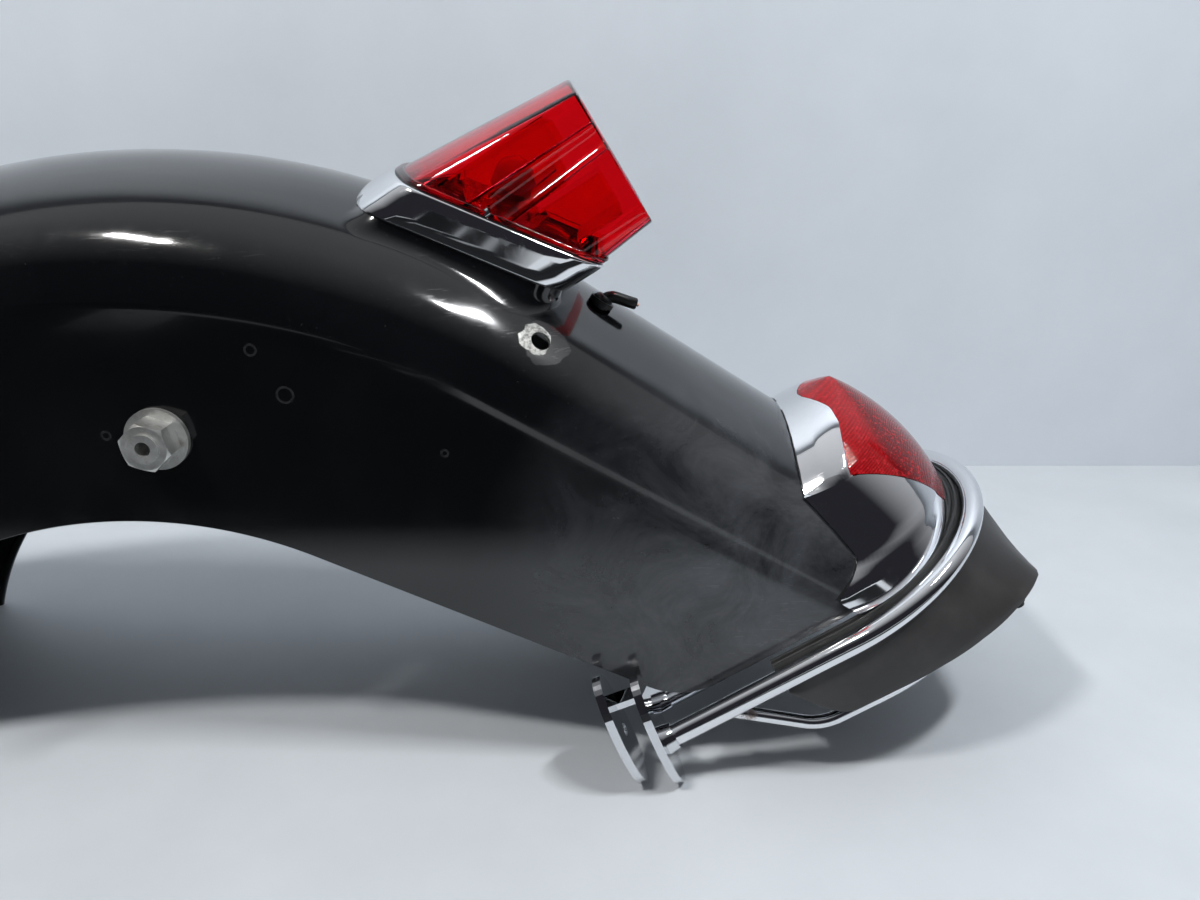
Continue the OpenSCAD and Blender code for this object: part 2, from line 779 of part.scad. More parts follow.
module filler_panel() {
    top = rail_z - rail_d / 2 - seat;
    side = [for (i = [0:3]) let (x = filler_front_x + (low_bend_x + 12 - filler_front_x) * i / 3)
        [x, top - 3 - (top - 3 - low_edge_z) * sin(90 * i / 3)]];
    color("#1c1a1a") settle() skin(concat(
        [for (p = side) filler_station(p[0], 0, [0, -1], 0, p[1])],
        [for (i = [0:32]) let (a = -90 + 180 * i / 32, swell = pow(cos(a), 1.5))
            filler_station(rail_x, 0, [cos(a), sin(a)], swell, low_edge_z - filler_drop * swell)],
        [for (i = [3:-1:0]) filler_station(side[i][0], 0, [0, 1], 0, side[i][1])]));
}

// Half-round tabs' screws under the filler panel's rear corners
module filler_screws() {
    color("#151515") settle() for (a = [-screw_a, screw_a]) {
        swell = pow(cos(a), 1.5);
        r = filler_r + filler_flare * swell - filler_t / 2 - 5;
        translate([rail_x + r * cos(a), r * sin(a), low_edge_z - filler_drop * swell]) {
            translate([0, 0, -4 - seat]) cylinder(d = 10, h = 4);
            translate([0, 0, -7 - seat]) cylinder(d = 7, h = 3);
        }
    }
}

// Oval flange plate in its own plane, its rear face at x = 0
module oval_plate() {
    rotate([90, 0, -90]) linear_extrude(plate_t)
        polygon([for (i = [0:47]) let (a = 7.5 * i) [plate_w / 2 * cos(a), plate_h / 2 * sin(a)]]);
}

module bracket() {
    web_h = 12;
    web_w = 12;
    color("#cfd1d3") settle() translate([plate_x, -rail_half_w, plate_z])
        rotate([0, plate_lean, 0]) difference() {
            union() {
                oval_plate();
                translate([-spread_x, 0, plate_rise]) oval_plate();
                translate([-spread_x - 1, -web_w / 2, plate_h / 2 - web_h])
                    cube([spread_x, web_w, 4]);
            }
            translate([-spread_x - plate_t - 1, 0, plate_rise]) rotate([0, 90, 0])
                cylinder(d = plate_hole_d, h = plate_t + 2);
        }
}

module bracket_left() {
    bracket();
}

module bracket_right() {
    mirror([0, 1, 0]) bracket();
}

// Upright web from the flange plate along the shell's inner face
module gusset() {
    y = -half_w + wall + hem_t + seat;
    color("#c4c6c8") settle() difference() {
        translate([0, y + 3, 0]) rotate([90, 0, 0]) linear_extrude(3) polygon([
            [plate_x - 6, rail_z + 44], [plate_x - 6, rail_z + 7],
            [plate_x + 38, rail_z + 7], [plate_x + 44, rail_z + 22], [plate_x + 16, rail_z + 60]]);
        before_plates();
    }
}

module gusset_left() {
    gusset();
}

module gusset_right() {
    mirror([0, 1, 0]) gusset();
}

fender_shell();
support_studs();
support_washers();
support_nuts();
lamp_boss();
lamp_base();
lamp_seal();
lamp_lens();
lamp_reflector();
lamp_socket();
lamp_bulb();
lamp_screws();
lead_grommet();
lead_stub();
lead_cores();
tip_housing();
tip_lens();
tip_seal();
tip_socket();
tip_bulb();
upper_rail();
lower_rail();
rail_collars();
rail_trim();
filler_panel();
filler_screws();
bracket_left();
bracket_right();
gusset_left();
gusset_right();
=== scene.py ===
import math

import bmesh
import bpy
import numpy as np
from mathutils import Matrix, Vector


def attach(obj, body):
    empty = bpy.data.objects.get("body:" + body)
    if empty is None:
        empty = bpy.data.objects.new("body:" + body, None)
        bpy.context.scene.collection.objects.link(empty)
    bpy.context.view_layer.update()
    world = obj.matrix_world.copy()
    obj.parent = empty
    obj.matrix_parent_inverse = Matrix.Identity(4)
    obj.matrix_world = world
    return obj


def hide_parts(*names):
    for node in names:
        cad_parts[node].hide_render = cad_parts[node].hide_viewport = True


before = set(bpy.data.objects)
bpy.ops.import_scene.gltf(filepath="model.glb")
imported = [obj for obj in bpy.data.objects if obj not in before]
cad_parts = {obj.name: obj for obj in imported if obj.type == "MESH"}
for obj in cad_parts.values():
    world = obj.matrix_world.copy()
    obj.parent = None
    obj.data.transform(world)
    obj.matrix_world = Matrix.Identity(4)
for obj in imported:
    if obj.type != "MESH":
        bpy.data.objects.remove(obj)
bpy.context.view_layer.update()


def put(name, data):
    """A new object in the scene."""
    ob = bpy.data.objects.new(name, data)
    bpy.context.scene.collection.objects.link(ob)
    return ob


# Camera, as the photograph was taken
CAMERA_AT = (0.2034, -0.555, 0.3725)
CAMERA_PITCH = 20
FOCAL_LENGTH = 27.09

cam_data = bpy.data.cameras.new("camera")
cam = put("camera", cam_data)
cam.location = CAMERA_AT
cam.rotation_euler = (math.radians(90 - CAMERA_PITCH), 0, 0)
cam_data.sensor_fit = "HORIZONTAL"
cam_data.sensor_width = 36
cam_data.lens = FOCAL_LENGTH
cam_data.clip_start = 0.01
bpy.context.scene.camera = cam

# Sizes in millimetres, in the level frame of the CAD source
LEAN, TAIL_A = 32.0, 64.0
CROWN_R, HALF_W, SECTION_R, SHOULDER_R = 435.0, 100.0, 120.0, 58.0
WALL, HEM_T, HEM_H, CUT_Z = 2.0, 2.0, 5.0, -58.0
EDGE_R, EDGE_SLOPE, CORNER_R = 242.0, 56.5, 40.0
SHIFT, LIFT = -56.589, -77.519
LAMP_W, LAMP_TOP, LAMP_LOW, LAMP_ARCH, LAMP_CORNER = 62.0, 287.0, 178.0, 130.0, 16.0
LAMP_X, LAMP_SLOPE, BASE_H, LENS_X = 344.0, 54.5, 22.0, 456.0
RAIL_W, RAIL_D, LOW_RAIL_D, RAIL_X, RAIL_Z, LOW_RAIL_Z = 112.0, 12.7, 8.0, 432.0, -68.0, -111.0
RAIL_FRONT_X = 310.8


def sin(a):
    return np.sin(np.radians(a))


def cos(a):
    return np.cos(np.radians(a))


JOIN_A = math.degrees(math.asin((HALF_W - SHOULDER_R) / (SECTION_R - SHOULDER_R)))
SHOULDER_C = SECTION_R - (SECTION_R - SHOULDER_R) * cos(JOIN_A)
TAIL_START = np.array([CROWN_R * sin(TAIL_A), CROWN_R * cos(TAIL_A)])
MIRROR = np.array([1, -1, 1])


def turn(d):
    """A level direction in the part's own frame."""
    d = np.asarray(d, float)
    x, y, z = d[..., 0], d[..., 1], d[..., 2]
    return np.stack([x * cos(LEAN) - z * sin(LEAN), y, x * sin(LEAN) + z * cos(LEAN)], -1)


def settle(p):
    """Level millimetres to the part's own frame in metres."""
    return (turn(p) + np.array([SHIFT, 0, LIFT])) / 1000


def level(p):
    """The part's own frame in metres to level millimetres."""
    p = np.asarray(p, float) * 1000
    x, y, z = p[..., 0] - SHIFT, p[..., 1], p[..., 2] - LIFT
    return np.stack([x * cos(LEAN) + z * sin(LEAN), y, -x * sin(LEAN) + z * cos(LEAN)], -1)


def sag(y):
    """How far the fender's surface lies below its crown line at distance y."""
    q = np.abs(np.asarray(y, float))
    crown = SECTION_R - np.sqrt(np.maximum(0, SECTION_R ** 2 - q * q))
    side = SHOULDER_C - np.sqrt(np.maximum(0, SHOULDER_R ** 2 - (q - HALF_W + SHOULDER_R) ** 2))
    return np.where(q < SECTION_R * sin(JOIN_A), crown, side)


def surface_x(y, z):
    """How far behind the axis the fender's surface is at distance y and height z."""
    r = CROWN_R - sag(y)
    on_arc = np.sqrt(np.maximum(0, r * r - np.asarray(z, float) ** 2))
    on_tail = (r - z * cos(TAIL_A)) / sin(TAIL_A)
    return np.where(z > r * cos(TAIL_A), on_arc, on_tail)


def surface_normal(p):
    """(distance outside the fender's surface, outward normal) at level points."""
    p = np.asarray(p, float)
    x, y, z = p[..., 0], p[..., 1], p[..., 2]
    phi = np.arctan2(z, x)
    on_arc = phi > math.radians(90 - TAIL_A)
    ex = np.where(on_arc, np.cos(phi), sin(TAIL_A))
    ez = np.where(on_arc, np.sin(phi), cos(TAIL_A))
    depth = CROWN_R - (x * ex + z * ez)
    q = np.abs(y)
    a = np.arctan2(q, SECTION_R - depth)
    crown = (a < math.radians(JOIN_A)) & (depth < SECTION_R)
    side = depth >= SHOULDER_C
    sd, sy = SHOULDER_C - depth, q - (HALF_W - SHOULDER_R)
    sr = np.hypot(sd, sy) + 1e-9
    cr = np.hypot(SECTION_R - depth, q) + 1e-9
    up = np.where(side, 0, np.where(crown, (SECTION_R - depth) / cr, sd / sr))
    out = np.where(side, 1, np.where(crown, q / cr, sy / sr)) * np.sign(y + 1e-12)
    dist = np.where(side, q - HALF_W, np.where(crown, cr - SECTION_R, sr - SHOULDER_R))
    return dist, np.stack([up * ex, out, up * ez], -1)


# Mesh building
class Shape:
    """Vertices and faces in level millimetres, built up from grids."""

    def __init__(self):
        self.v, self.f, self.count = [], [], 0

    def add(self, pts):
        """Adds points and returns their numbers."""
        pts = np.asarray(pts, float).reshape(-1, 3)
        self.v.append(pts)
        start = self.count
        self.count += len(pts)
        return np.arange(start, self.count)

    def quads(self, ids, close_v=False, flip=False):
        """Joins a grid of point numbers with faces; equal corners are dropped."""
        nu, nv = ids.shape
        for i in range(nu - 1):
            for j in range(nv if close_v else nv - 1):
                k = (j + 1) % nv
                q = [ids[i, j], ids[i + 1, j], ids[i + 1, k], ids[i, k]]
                q = [corner for n, corner in enumerate(q) if corner not in q[:n]]
                if len(q) > 2:
                    self.cap(q, flip)

    def grid(self, pts, **kw):
        pts = np.asarray(pts, float)
        ids = self.add(pts).reshape(pts.shape[:2])
        self.quads(ids, **kw)
        return ids

    def cap(self, loop, flip=False):
        self.f.append([int(i) for i in (loop[::-1] if flip else loop)])

    def fan(self, ring, centre, flip=False):
        """Closes a ring with triangles round a centre point."""
        c = self.add([centre])[0]
        for n, corner in enumerate(ring):
            self.cap([corner, ring[(n + 1) % len(ring)], c], flip)

    def bar(self, rings):
        """A closed bar through rings of points."""
        ids = self.grid(rings, close_v=True)
        self.cap(ids[0], flip=True)
        self.cap(ids[-1])

    def mesh(self, name, sharp=38):
        """The shape as a Blender mesh, smooth apart from edges of more than sharp degrees."""
        pts = settle(np.concatenate(self.v))
        me = bpy.data.meshes.new(name)
        me.from_pydata([tuple(p) for p in pts], [], self.f)
        bm = bmesh.new()
        bm.from_mesh(me)
        bmesh.ops.remove_doubles(bm, verts=bm.verts, dist=1e-7)
        bmesh.ops.recalc_face_normals(bm, faces=bm.faces)
        bm.to_mesh(me)
        bm.free()
        me.polygons.foreach_set("use_smooth", [True] * len(me.polygons))
        me.set_sharp_from_angle(angle=math.radians(sharp))
        return me


def stand_in(node, mesh, material):
    """A visible piece that rides on the body and stands for a CAD node, whose own object it hides."""
    ob = put(mesh.name, mesh)
    mesh.materials.append(material)
    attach(ob, "root")
    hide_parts(node)


def frames_along(path):
    """Tangent, and two steady cross directions, along a polyline."""
    path = np.asarray(path, float)
    t = np.gradient(path, axis=0)
    t /= np.linalg.norm(t, axis=1)[:, None]
    ref = np.array([0.0, 1.0, 0.0]) if abs(t[0][1]) < 0.9 else np.array([0.0, 0.0, 1.0])
    a = []
    for k in range(len(path)):
        ref = ref - t[k] * (ref @ t[k])
        ref /= np.linalg.norm(ref)
        a.append(ref)
    a = np.array(a)
    return t, a, np.cross(t, a)


def tube(shape, path, r, n):
    """A round tube along a path, with one radius or one for each point."""
    path = np.asarray(path, float)
    t, a, b = frames_along(path)
    r = np.broadcast_to(np.asarray(r, float), (len(path),))
    ang = np.linspace(0, 2 * np.pi, n, endpoint=False)
    pts = path[:, None] + r[:, None, None] * (np.cos(ang)[None, :, None] * a[:, None]
                                              + np.sin(ang)[None, :, None] * b[:, None])
    shape.bar(pts)


# Materials
class Nodes:
    """A small helper around the nodes of a material or of the world."""

    def __init__(self, owner, place):
        owner.use_nodes = True
        self.t = owner.node_tree
        self.co = self.node("ShaderNodeTexCoord").outputs[place]

    def node(self, kind, **props):
        n = self.t.nodes.new(kind)
        for k, v in props.items():
            setattr(n, k, v)
        return n

    def link(self, a, b):
        self.t.links.new(a, b)

    def xyz(self):
        """The three coordinates of a point."""
        parts = self.node("ShaderNodeSeparateXYZ")
        self.link(self.co, parts.inputs[0])
        return parts.outputs

    def noise(self, scale, detail=4, rough=0.55, stretch=None, distort=0.0):
        src = self.co
        if stretch:
            mapping = self.node("ShaderNodeMapping")
            mapping.inputs["Scale"].default_value = stretch
            self.link(src, mapping.inputs["Vector"])
            src = mapping.outputs["Vector"]
        n = self.node("ShaderNodeTexNoise")
        n.inputs["Scale"].default_value = scale
        n.inputs["Detail"].default_value = detail
        n.inputs["Roughness"].default_value = rough
        n.inputs["Distortion"].default_value = distort
        self.link(src, n.inputs["Vector"])
        return n.outputs["Fac"]

    def ramp(self, fac, stops):
        r = self.node("ShaderNodeValToRGB")
        while len(r.color_ramp.elements) < len(stops):
            r.color_ramp.elements.new(0.5)
        for e, (p, c) in zip(r.color_ramp.elements, stops):
            e.position = p
            e.color = (*c, 1) if isinstance(c, tuple) else (c, c, c, 1)
        self.link(fac, r.inputs["Fac"])
        return r.outputs["Color"]

    def math(self, op, a, b=None, clamp=False):
        n = self.node("ShaderNodeMath", operation=op, use_clamp=clamp)
        for i, v in enumerate((a, b)):
            if v is None:
                continue
            if isinstance(v, (int, float)):
                n.inputs[i].default_value = v
            else:
                self.link(v, n.inputs[i])
        return n.outputs[0]

    def add(self, a, b, clamp=False):
        return self.math("ADD", a, b, clamp)

    def sub(self, a, b):
        return self.math("SUBTRACT", a, b)

    def mul(self, a, b, clamp=False):
        return self.math("MULTIPLY", a, b, clamp)

    def more(self, start, fac, amount):
        """start plus amount times fac."""
        return self.add(start, self.mul(fac, amount))

    def rise(self, fac, low, high):
        """0 up to low, 1 from high on."""
        return self.ramp(fac, [(low, 0.0), (high, 1.0)])

    def mix(self, fac, a, b):
        n = self.node("ShaderNodeMix", data_type="RGBA")
        for key, v in ((0, fac), (6, a), (7, b)):
            if isinstance(v, tuple):
                n.inputs[key].default_value = (*v, 1)
            else:
                self.link(v, n.inputs[key])
        return n.outputs[2]

    def bump(self, height, strength=0.2, distance=0.001, chain=None):
        n = self.node("ShaderNodeBump")
        n.inputs["Strength"].default_value = strength
        n.inputs["Distance"].default_value = distance
        self.link(height, n.inputs["Height"])
        if chain is not None:
            self.link(chain, n.inputs["Normal"])
        return n.outputs["Normal"]


class Mat(Nodes):
    """A node material around one Principled shader."""

    def __init__(self, name):
        self.m = bpy.data.materials.new(name)
        super().__init__(self.m, "Object")
        self.b = self.t.nodes["Principled BSDF"]

    def set(self, **vals):
        """Sets the shader's own sockets."""
        names = {"rough": "Roughness", "metal": "Metallic", "ior": "IOR", "spec": "Specular IOR Level",
                 "coat": "Coat Weight", "coat_rough": "Coat Roughness", "trans": "Transmission Weight"}
        for k, v in vals.items():
            self.b.inputs[names[k]].default_value = v

    def use(self, **outs):
        """Links outputs to the shader's sockets."""
        names = {"base": "Base Color", "rough": "Roughness", "metal": "Metallic", "normal": "Normal"}
        for k, v in outs.items():
            self.link(v, self.b.inputs[names[k]])

    def spot(self, centre, axis, radius, soft):
        """Above 0 within radius of the level line through centre along axis, reaching 1 soft mm in."""
        out = self.co
        for operation, value in (("SUBTRACT", settle(centre)),
                                 ("CROSS_PRODUCT", turn(axis) / np.linalg.norm(axis))):
            step = self.node("ShaderNodeVectorMath", operation=operation)
            self.link(out, step.inputs[0])
            step.inputs[1].default_value = tuple(value)
            out = step.outputs[0]
        length = self.node("ShaderNodeVectorMath", operation="LENGTH")
        self.link(out, length.inputs[0])
        return self.mul(self.sub(radius / 1000, length.outputs["Value"]), 1000 / soft)


def on_tail(s, y, h):
    """Level point at distance s down the tail, y to the side and h out from the crown line."""
    out = (sin(TAIL_A), cos(TAIL_A))
    return np.array([TAIL_START[0] + s * out[1] + h * out[0], y, TAIL_START[1] - s * out[0] + h * out[1]])


SIGNAL_S, SIGNAL_Y, SIGNAL_HOLE_R = 14.0, 76.0, 5.5
SIGNAL_TILT = math.degrees(math.asin((SIGNAL_Y - HALF_W + SHOULDER_R) / SHOULDER_R))


def signal_hole(side):
    """Centre and outward axis of a turn-signal hole; side is -1 on the left and 1 on the right."""
    c = on_tail(SIGNAL_S, side * SIGNAL_Y, -float(sag(SIGNAL_Y)))
    u = cos(SIGNAL_TILT)
    return c, np.array([u * sin(TAIL_A), side * sin(SIGNAL_TILT), u * cos(TAIL_A)])


# Dried drops on the flank, as x, z in the part's frame in metres, and radius in millimetres
DROPS = ((0.0381, 0.2376, 5.0), (0.0230, 0.2617, 3.6), (-0.060, 0.215, 3.0), (0.120, 0.205, 2.6))
# Middle of the dull, finely scratched lower rear of the side walls, whose paler grey tone there is a painted
# reflection of the floor
DULL_AND_REFLECTION_AT = (392, 0, -8)
ACROSS = (0, 1, 0)


def paint_material():
    """Gloss black with smudges, dust, fine scratches, a matt lower rear with a painted floor reflection, and
    the bare prints round the signal holes.
    """
    m = Mat("gloss_paint")
    m.set(spec=0.5, coat=0.5, coat_rough=0.03)
    smudge = m.rise(m.noise(9, 6, 0.6, distort=0.6), 0.45, 0.75)
    haze = m.rise(m.noise(38, 5, 0.7), 0.5, 0.8)
    scratch = m.rise(m.noise(60, 3, 0.5, stretch=(1, 1, 14), distort=1.2), 0.62, 0.66)
    dust = m.rise(m.noise(900, 2, 0.5), 0.70, 0.76)
    rough = m.more(0.085, smudge, 0.10)
    rough = m.more(rough, haze, 0.05)
    rough = m.more(rough, scratch, 0.06)
    base = m.mix(m.mul(smudge, 0.35), (0.0026, 0.003, 0.0036), (0.008, 0.0085, 0.010))
    base = m.mix(m.mul(dust, 0.5), base, (0.05, 0.05, 0.05))
    mottle = m.ramp(m.noise(20, 7, 0.72, distort=0.7), [(0.36, 0.25), (0.64, 1.0)])
    # Rougher and scratched at the lower rear, and painted paler grey there as a painted reflection of the
    # floor
    dull_and_painted_reflection = m.mul(m.spot(DULL_AND_REFLECTION_AT, ACROSS, 150, 120), mottle, clamp=True)
    rough = m.more(rough, dull_and_painted_reflection, 0.16)
    base = m.mix(m.mul(dull_and_painted_reflection, 0.8), base, (0.085, 0.090, 0.100))
    metal = None
    for side in (-1, 1):
        # Bare metal round the hole, and a wider dull print of the clamp
        c, ax = signal_hole(side)
        ragged = m.mul(m.sub(m.noise(85, 2, 0.45), 0.5), 14.0)
        bare = m.add(m.spot(c + np.array([-2.6, 0, 2.0]), ax, 9.6, 0.7), ragged, clamp=True)
        worn = m.add(m.spot(c + np.array([2.0, 0, -2.0]), ax, 14.0, 0.7), ragged, clamp=True)
        rough = m.more(rough, worn, 0.12)
        rough = m.more(rough, bare, 0.25)
        base = m.mix(m.mul(worn, 0.5), base, (0.03, 0.03, 0.032))
        metal_tone = m.ramp(m.noise(420, 4, 0.7), [(0.38, (0.10, 0.10, 0.095)), (0.56, (0.34, 0.34, 0.32))])
        base = m.mix(bare, base, metal_tone)
        metal = bare if metal is None else m.math("MAXIMUM", metal, bare)
    for x, z, size in DROPS:
        c = level((x, 0, z))
        ring = m.mul(m.spot(c, ACROSS, size, 0.5),
                      m.sub(1.0, m.spot(c, ACROSS, size - 1.0, 0.5)), clamp=True)
        faint = m.mul(m.noise(300), 0.7)
        base = m.mix(m.mul(ring, faint), base, (0.06, 0.06, 0.06))
    fine = m.bump(m.noise(420, 3, 0.6), 0.02, 0.0004)
    waves = m.bump(m.noise(14, 2, 0.4), 0.03, 0.002, fine)
    chipped = m.bump(m.sub(1.0, metal), 0.5, 0.0003, waves)
    m.use(base=base, rough=rough, normal=chipped, metal=m.mul(metal, 0.7))
    return m.m


# Rust at the welds of the plates and of the lower rail: place and radius
STAINS = (((289, 0, -13), 4.5), ((360, 0, -79), 7.0))


def chrome_material(name="chrome", tint=(0.86, 0.87, 0.89), grime=0.25):
    """Bright plate with smears, hair scratches, pits and rust stains at the welds."""
    m = Mat(name)
    m.set(spec=0.5, metal=1.0)
    smear = m.rise(m.noise(22, 6, 0.65, distort=0.8), 0.48, 0.72)
    pits = m.rise(m.noise(650, 2, 0.5), 0.72, 0.77)
    hair = m.rise(m.noise(90, 3, 0.5, stretch=(1, 9, 1), distort=1.0), 0.60, 0.66)
    rough = m.more(0.045, smear, 0.07)
    rough = m.more(rough, hair, 0.05)
    base = m.mix(m.mul(smear, 0.18), tint, (0.66, 0.68, 0.71))
    base = m.mix(m.mul(pits, grime), base, (0.30, 0.24, 0.18))
    for centre, radius in STAINS:
        patchy = m.mul(m.sub(m.noise(240, 4, 0.7), 0.55), 5.0)
        stain = m.add(m.spot(centre, ACROSS, radius, 4.0), patchy, clamp=True)
        base = m.mix(m.mul(stain, 0.75), base, (0.16, 0.065, 0.025))
        rough = m.more(rough, stain, 0.35)
    m.use(base=base, rough=rough, normal=m.bump(m.noise(30, 2, 0.4), 0.03, 0.001))
    return m.m


def zinc_material():
    """Dull zinc plate of the studs, washers and nuts."""
    m = Mat("zinc")
    m.set(spec=0.5, metal=0.85)
    n = m.noise(120, 6, 0.7)
    grime = m.rise(m.noise(60, 5, 0.65), 0.5, 0.68)
    plate = m.ramp(n, [(0.3, (0.60, 0.60, 0.58)), (0.7, (0.82, 0.82, 0.80))])
    m.use(base=m.mix(grime, plate, (0.34, 0.33, 0.30)),
          rough=m.ramp(n, [(0.3, 0.28), (0.75, 0.52)]), normal=m.bump(n, 0.25, 0.0004))
    return m.m


def rubber_material(name, low, high, rough, fine=260):
    """Rubber or soft plastic with a fine grain and worn areas."""
    m = Mat(name)
    m.set(spec=0.4)
    n = m.noise(fine, 5, 0.6)
    wear = m.noise(24, 4, 0.6)
    base = m.mix(m.rise(wear, 0.4, 0.7), low, high)
    m.use(base=base, rough=m.ramp(wear, [(0.35, rough), (0.7, rough + 0.14)]),
          normal=m.bump(n, 0.12, 0.0003))
    return m.m


def darker(colour, share):
    return tuple(c * share for c in colour)


def prism_colour(m, colour, rib_shade):
    """Colour of the prismatic lens: painted shade along the prism ribs, painted glints as small bright red
    spots, and painted shade on the face behind the crease.
    """
    along = m.node("ShaderNodeVectorMath", operation="DOT_PRODUCT")
    m.link(m.co, along.inputs[0])
    along.inputs[1].default_value = (float(cos(LEAN)), 0.0, float(sin(LEAN)))
    # Painted shade: the face behind the crease is darker
    behind = m.mul(m.sub(along.outputs["Value"], CREASE_AT), 220.0, clamp=True)
    base = m.mix(behind, colour, darker(colour, 0.42))
    # Painted shade darkening the base along the prism ribs
    base = m.mix(m.mul(rib_shade, 0.55), base, darker(colour, 0.30))
    # Painted glints: small bright red spots in the base colour
    painted_glints = m.ramp(m.noise(520, 2, 0.6), [(0.55, 0.0), (0.62, 0.6)])
    return m.mix(painted_glints, base, (0.80, 0.02, 0.03))


def lens_material(name, colour, ribs=None, rough=0.02, trans=1.0, spec=0.5):
    """Red lens plastic; ribs is the scale of the fine prisms in the tip lens."""
    m = Mat(name)
    m.set(trans=trans, ior=1.49, spec=spec)
    haze = m.rise(m.noise(30, 5, 0.6), 0.45, 0.8)
    relief = m.bump(m.noise(300, 3, 0.5), 0.02, 0.0003)
    if ribs:
        wave = m.node("ShaderNodeTexWave", wave_type="BANDS", bands_direction="Z")
        wave.inputs["Scale"].default_value = ribs
        tilt = m.node("ShaderNodeMapping")
        tilt.inputs["Rotation"].default_value = (0, math.radians(LEAN), 0)
        m.link(m.co, tilt.inputs["Vector"])
        m.link(tilt.outputs["Vector"], wave.inputs["Vector"])
        base = prism_colour(m, colour, wave.outputs["Fac"])
        relief = m.bump(wave.outputs["Fac"], 0.35, 0.0004, relief)
    else:
        base = m.mix(m.mul(haze, 0.25), colour, darker(colour, 0.8))
    m.use(base=base, rough=m.more(rough, haze, 0.03), normal=relief)
    return m.m


def plain(name, low, high, rough, metal=0.0, scale=80, bump=0.1):
    """A surface between two tones, for the small parts behind the lenses and in the cable."""
    m = Mat(name)
    m.set(metal=metal, spec=0.5)
    n = m.noise(scale, 5, 0.6)
    m.use(base=m.mix(m.rise(n, 0.35, 0.7), low, high),
          rough=m.ramp(n, [(0.3, rough), (0.75, rough + 0.15)]), normal=m.bump(n, bump, 0.0004))
    return m.m


# Crease of the tip lens, in metres along the level line from the part's origin
CREASE_AT = 0.413

PAINT = paint_material()
CHROME = chrome_material()
ZINC = zinc_material()
RUBBER = rubber_material("rubber", (0.012, 0.012, 0.012), (0.03, 0.03, 0.03), 0.38)
SEAL = rubber_material("seal", (0.008, 0.008, 0.008), (0.018, 0.018, 0.018), 0.3)
FILLER = rubber_material("filler_plastic", (0.036, 0.034, 0.034), (0.060, 0.057, 0.056), 0.36, 520)
LENS = lens_material("red_lens", (1.0, 0.05, 0.09))
TIP_LENS = lens_material("red_tip_lens", (0.50, 0.001, 0.005), ribs=210, rough=0.05, trans=0.3, spec=0.3)
REFLECTOR = plain("reflector", (0.62, 0.62, 0.62), (0.8, 0.8, 0.8), 0.18, metal=0.9)
SOCKET = plain("socket", (0.03, 0.03, 0.03), (0.07, 0.07, 0.065), 0.4)
COPPER = plain("copper", (0.55, 0.26, 0.14), (0.75, 0.42, 0.25), 0.3, metal=1.0, scale=900)
BULB = plain("bulb_glass", (0.78, 0.76, 0.72), (0.9, 0.89, 0.86), 0.12)
BRUSHED = chrome_material("plated_steel", (0.74, 0.75, 0.77), 0.6)


# Fender shell
def section(d, n_crown=13, n_side=12):
    """Crown and shoulders from left to right, inset by d, as (depth, y)."""
    a = np.linspace(0, JOIN_A, n_crown)
    b = np.linspace(JOIN_A, 90, n_side)[1:]
    crown = np.stack([SECTION_R - (SECTION_R - d) * cos(a), (SECTION_R - d) * sin(a)], -1)
    side = np.stack([SHOULDER_C - (SHOULDER_R - d) * cos(b),
                     HALF_W - SHOULDER_R + (SHOULDER_R - d) * sin(b)], -1)
    half = np.concatenate([crown, side])
    left = half[:0:-1] * np.array([1, -1])
    return np.concatenate([left, half])


def arc_limit(r):
    """Angle above the wheel's level line at which the bench cuts radius r."""
    return 180 - LEAN - np.degrees(np.arcsin(np.minimum(1, -LIFT / r)))


def lower_edge():
    """End of the arched lower edge in (x, z), and the rounded rear corner that follows it."""
    start = 90 - EDGE_SLOPE
    nrm = np.array([sin(EDGE_SLOPE), cos(EDGE_SLOPE)])
    tan_pt = EDGE_R * np.array([cos(start), sin(start)])
    cz = CUT_Z + CORNER_R
    cx = tan_pt[0] + (CORNER_R - (cz - tan_pt[1]) * nrm[1]) / nrm[0]
    corner = [np.array([cx, cz]) + CORNER_R * np.array([cos(a), sin(a)])
              for a in np.linspace(270 - EDGE_SLOPE, 270, 17)]
    return tan_pt, np.array(corner)


def resample(path, n):
    """n points at even spacing along a polyline."""
    path = np.asarray(path, float)
    s = np.concatenate([[0], np.cumsum(np.linalg.norm(np.diff(path, axis=0), axis=1))])
    t = np.linspace(0, s[-1], n)
    return np.stack([np.interp(t, s, path[:, k]) for k in range(path.shape[1])], -1)


# Stations round the wheel and down the tail
N_ARC, N_TAIL = 92, 54
# Heights of the outer skin's points above the lower edge: first in mm, then as shares up to the shoulder
EDGE_DISTS, SIDE_SHARES = [1.6, 6.5], [0.04, 0.1, 0.2, 0.32, 0.45, 0.58, 0.7, 0.82, 0.92]


def crown_rows(d):
    """Crown and shoulders inset by d, one row for each station from the front end to the tail's."""
    sec = section(d)
    rows = []
    start = 90 - TAIL_A
    r = CROWN_R - sec[:, 0]
    end = arc_limit(r)
    for k in range(N_ARC):
        phi = start + (end - start) * (1 - k / N_ARC)
        rows.append(np.stack([r * cos(phi), sec[:, 1], r * sin(phi)], -1))
    s_end = (TAIL_START[1] - sec[:, 0] * cos(TAIL_A) - CUT_Z) / sin(TAIL_A)
    for k in range(N_TAIL + 1):
        s = s_end * k / N_TAIL
        rows.append(np.stack([
            TAIL_START[0] + s * cos(TAIL_A) - sec[:, 0] * sin(TAIL_A), sec[:, 1],
            TAIL_START[1] - s * sin(TAIL_A) - sec[:, 0] * cos(TAIL_A)], -1))
    return np.array(rows)


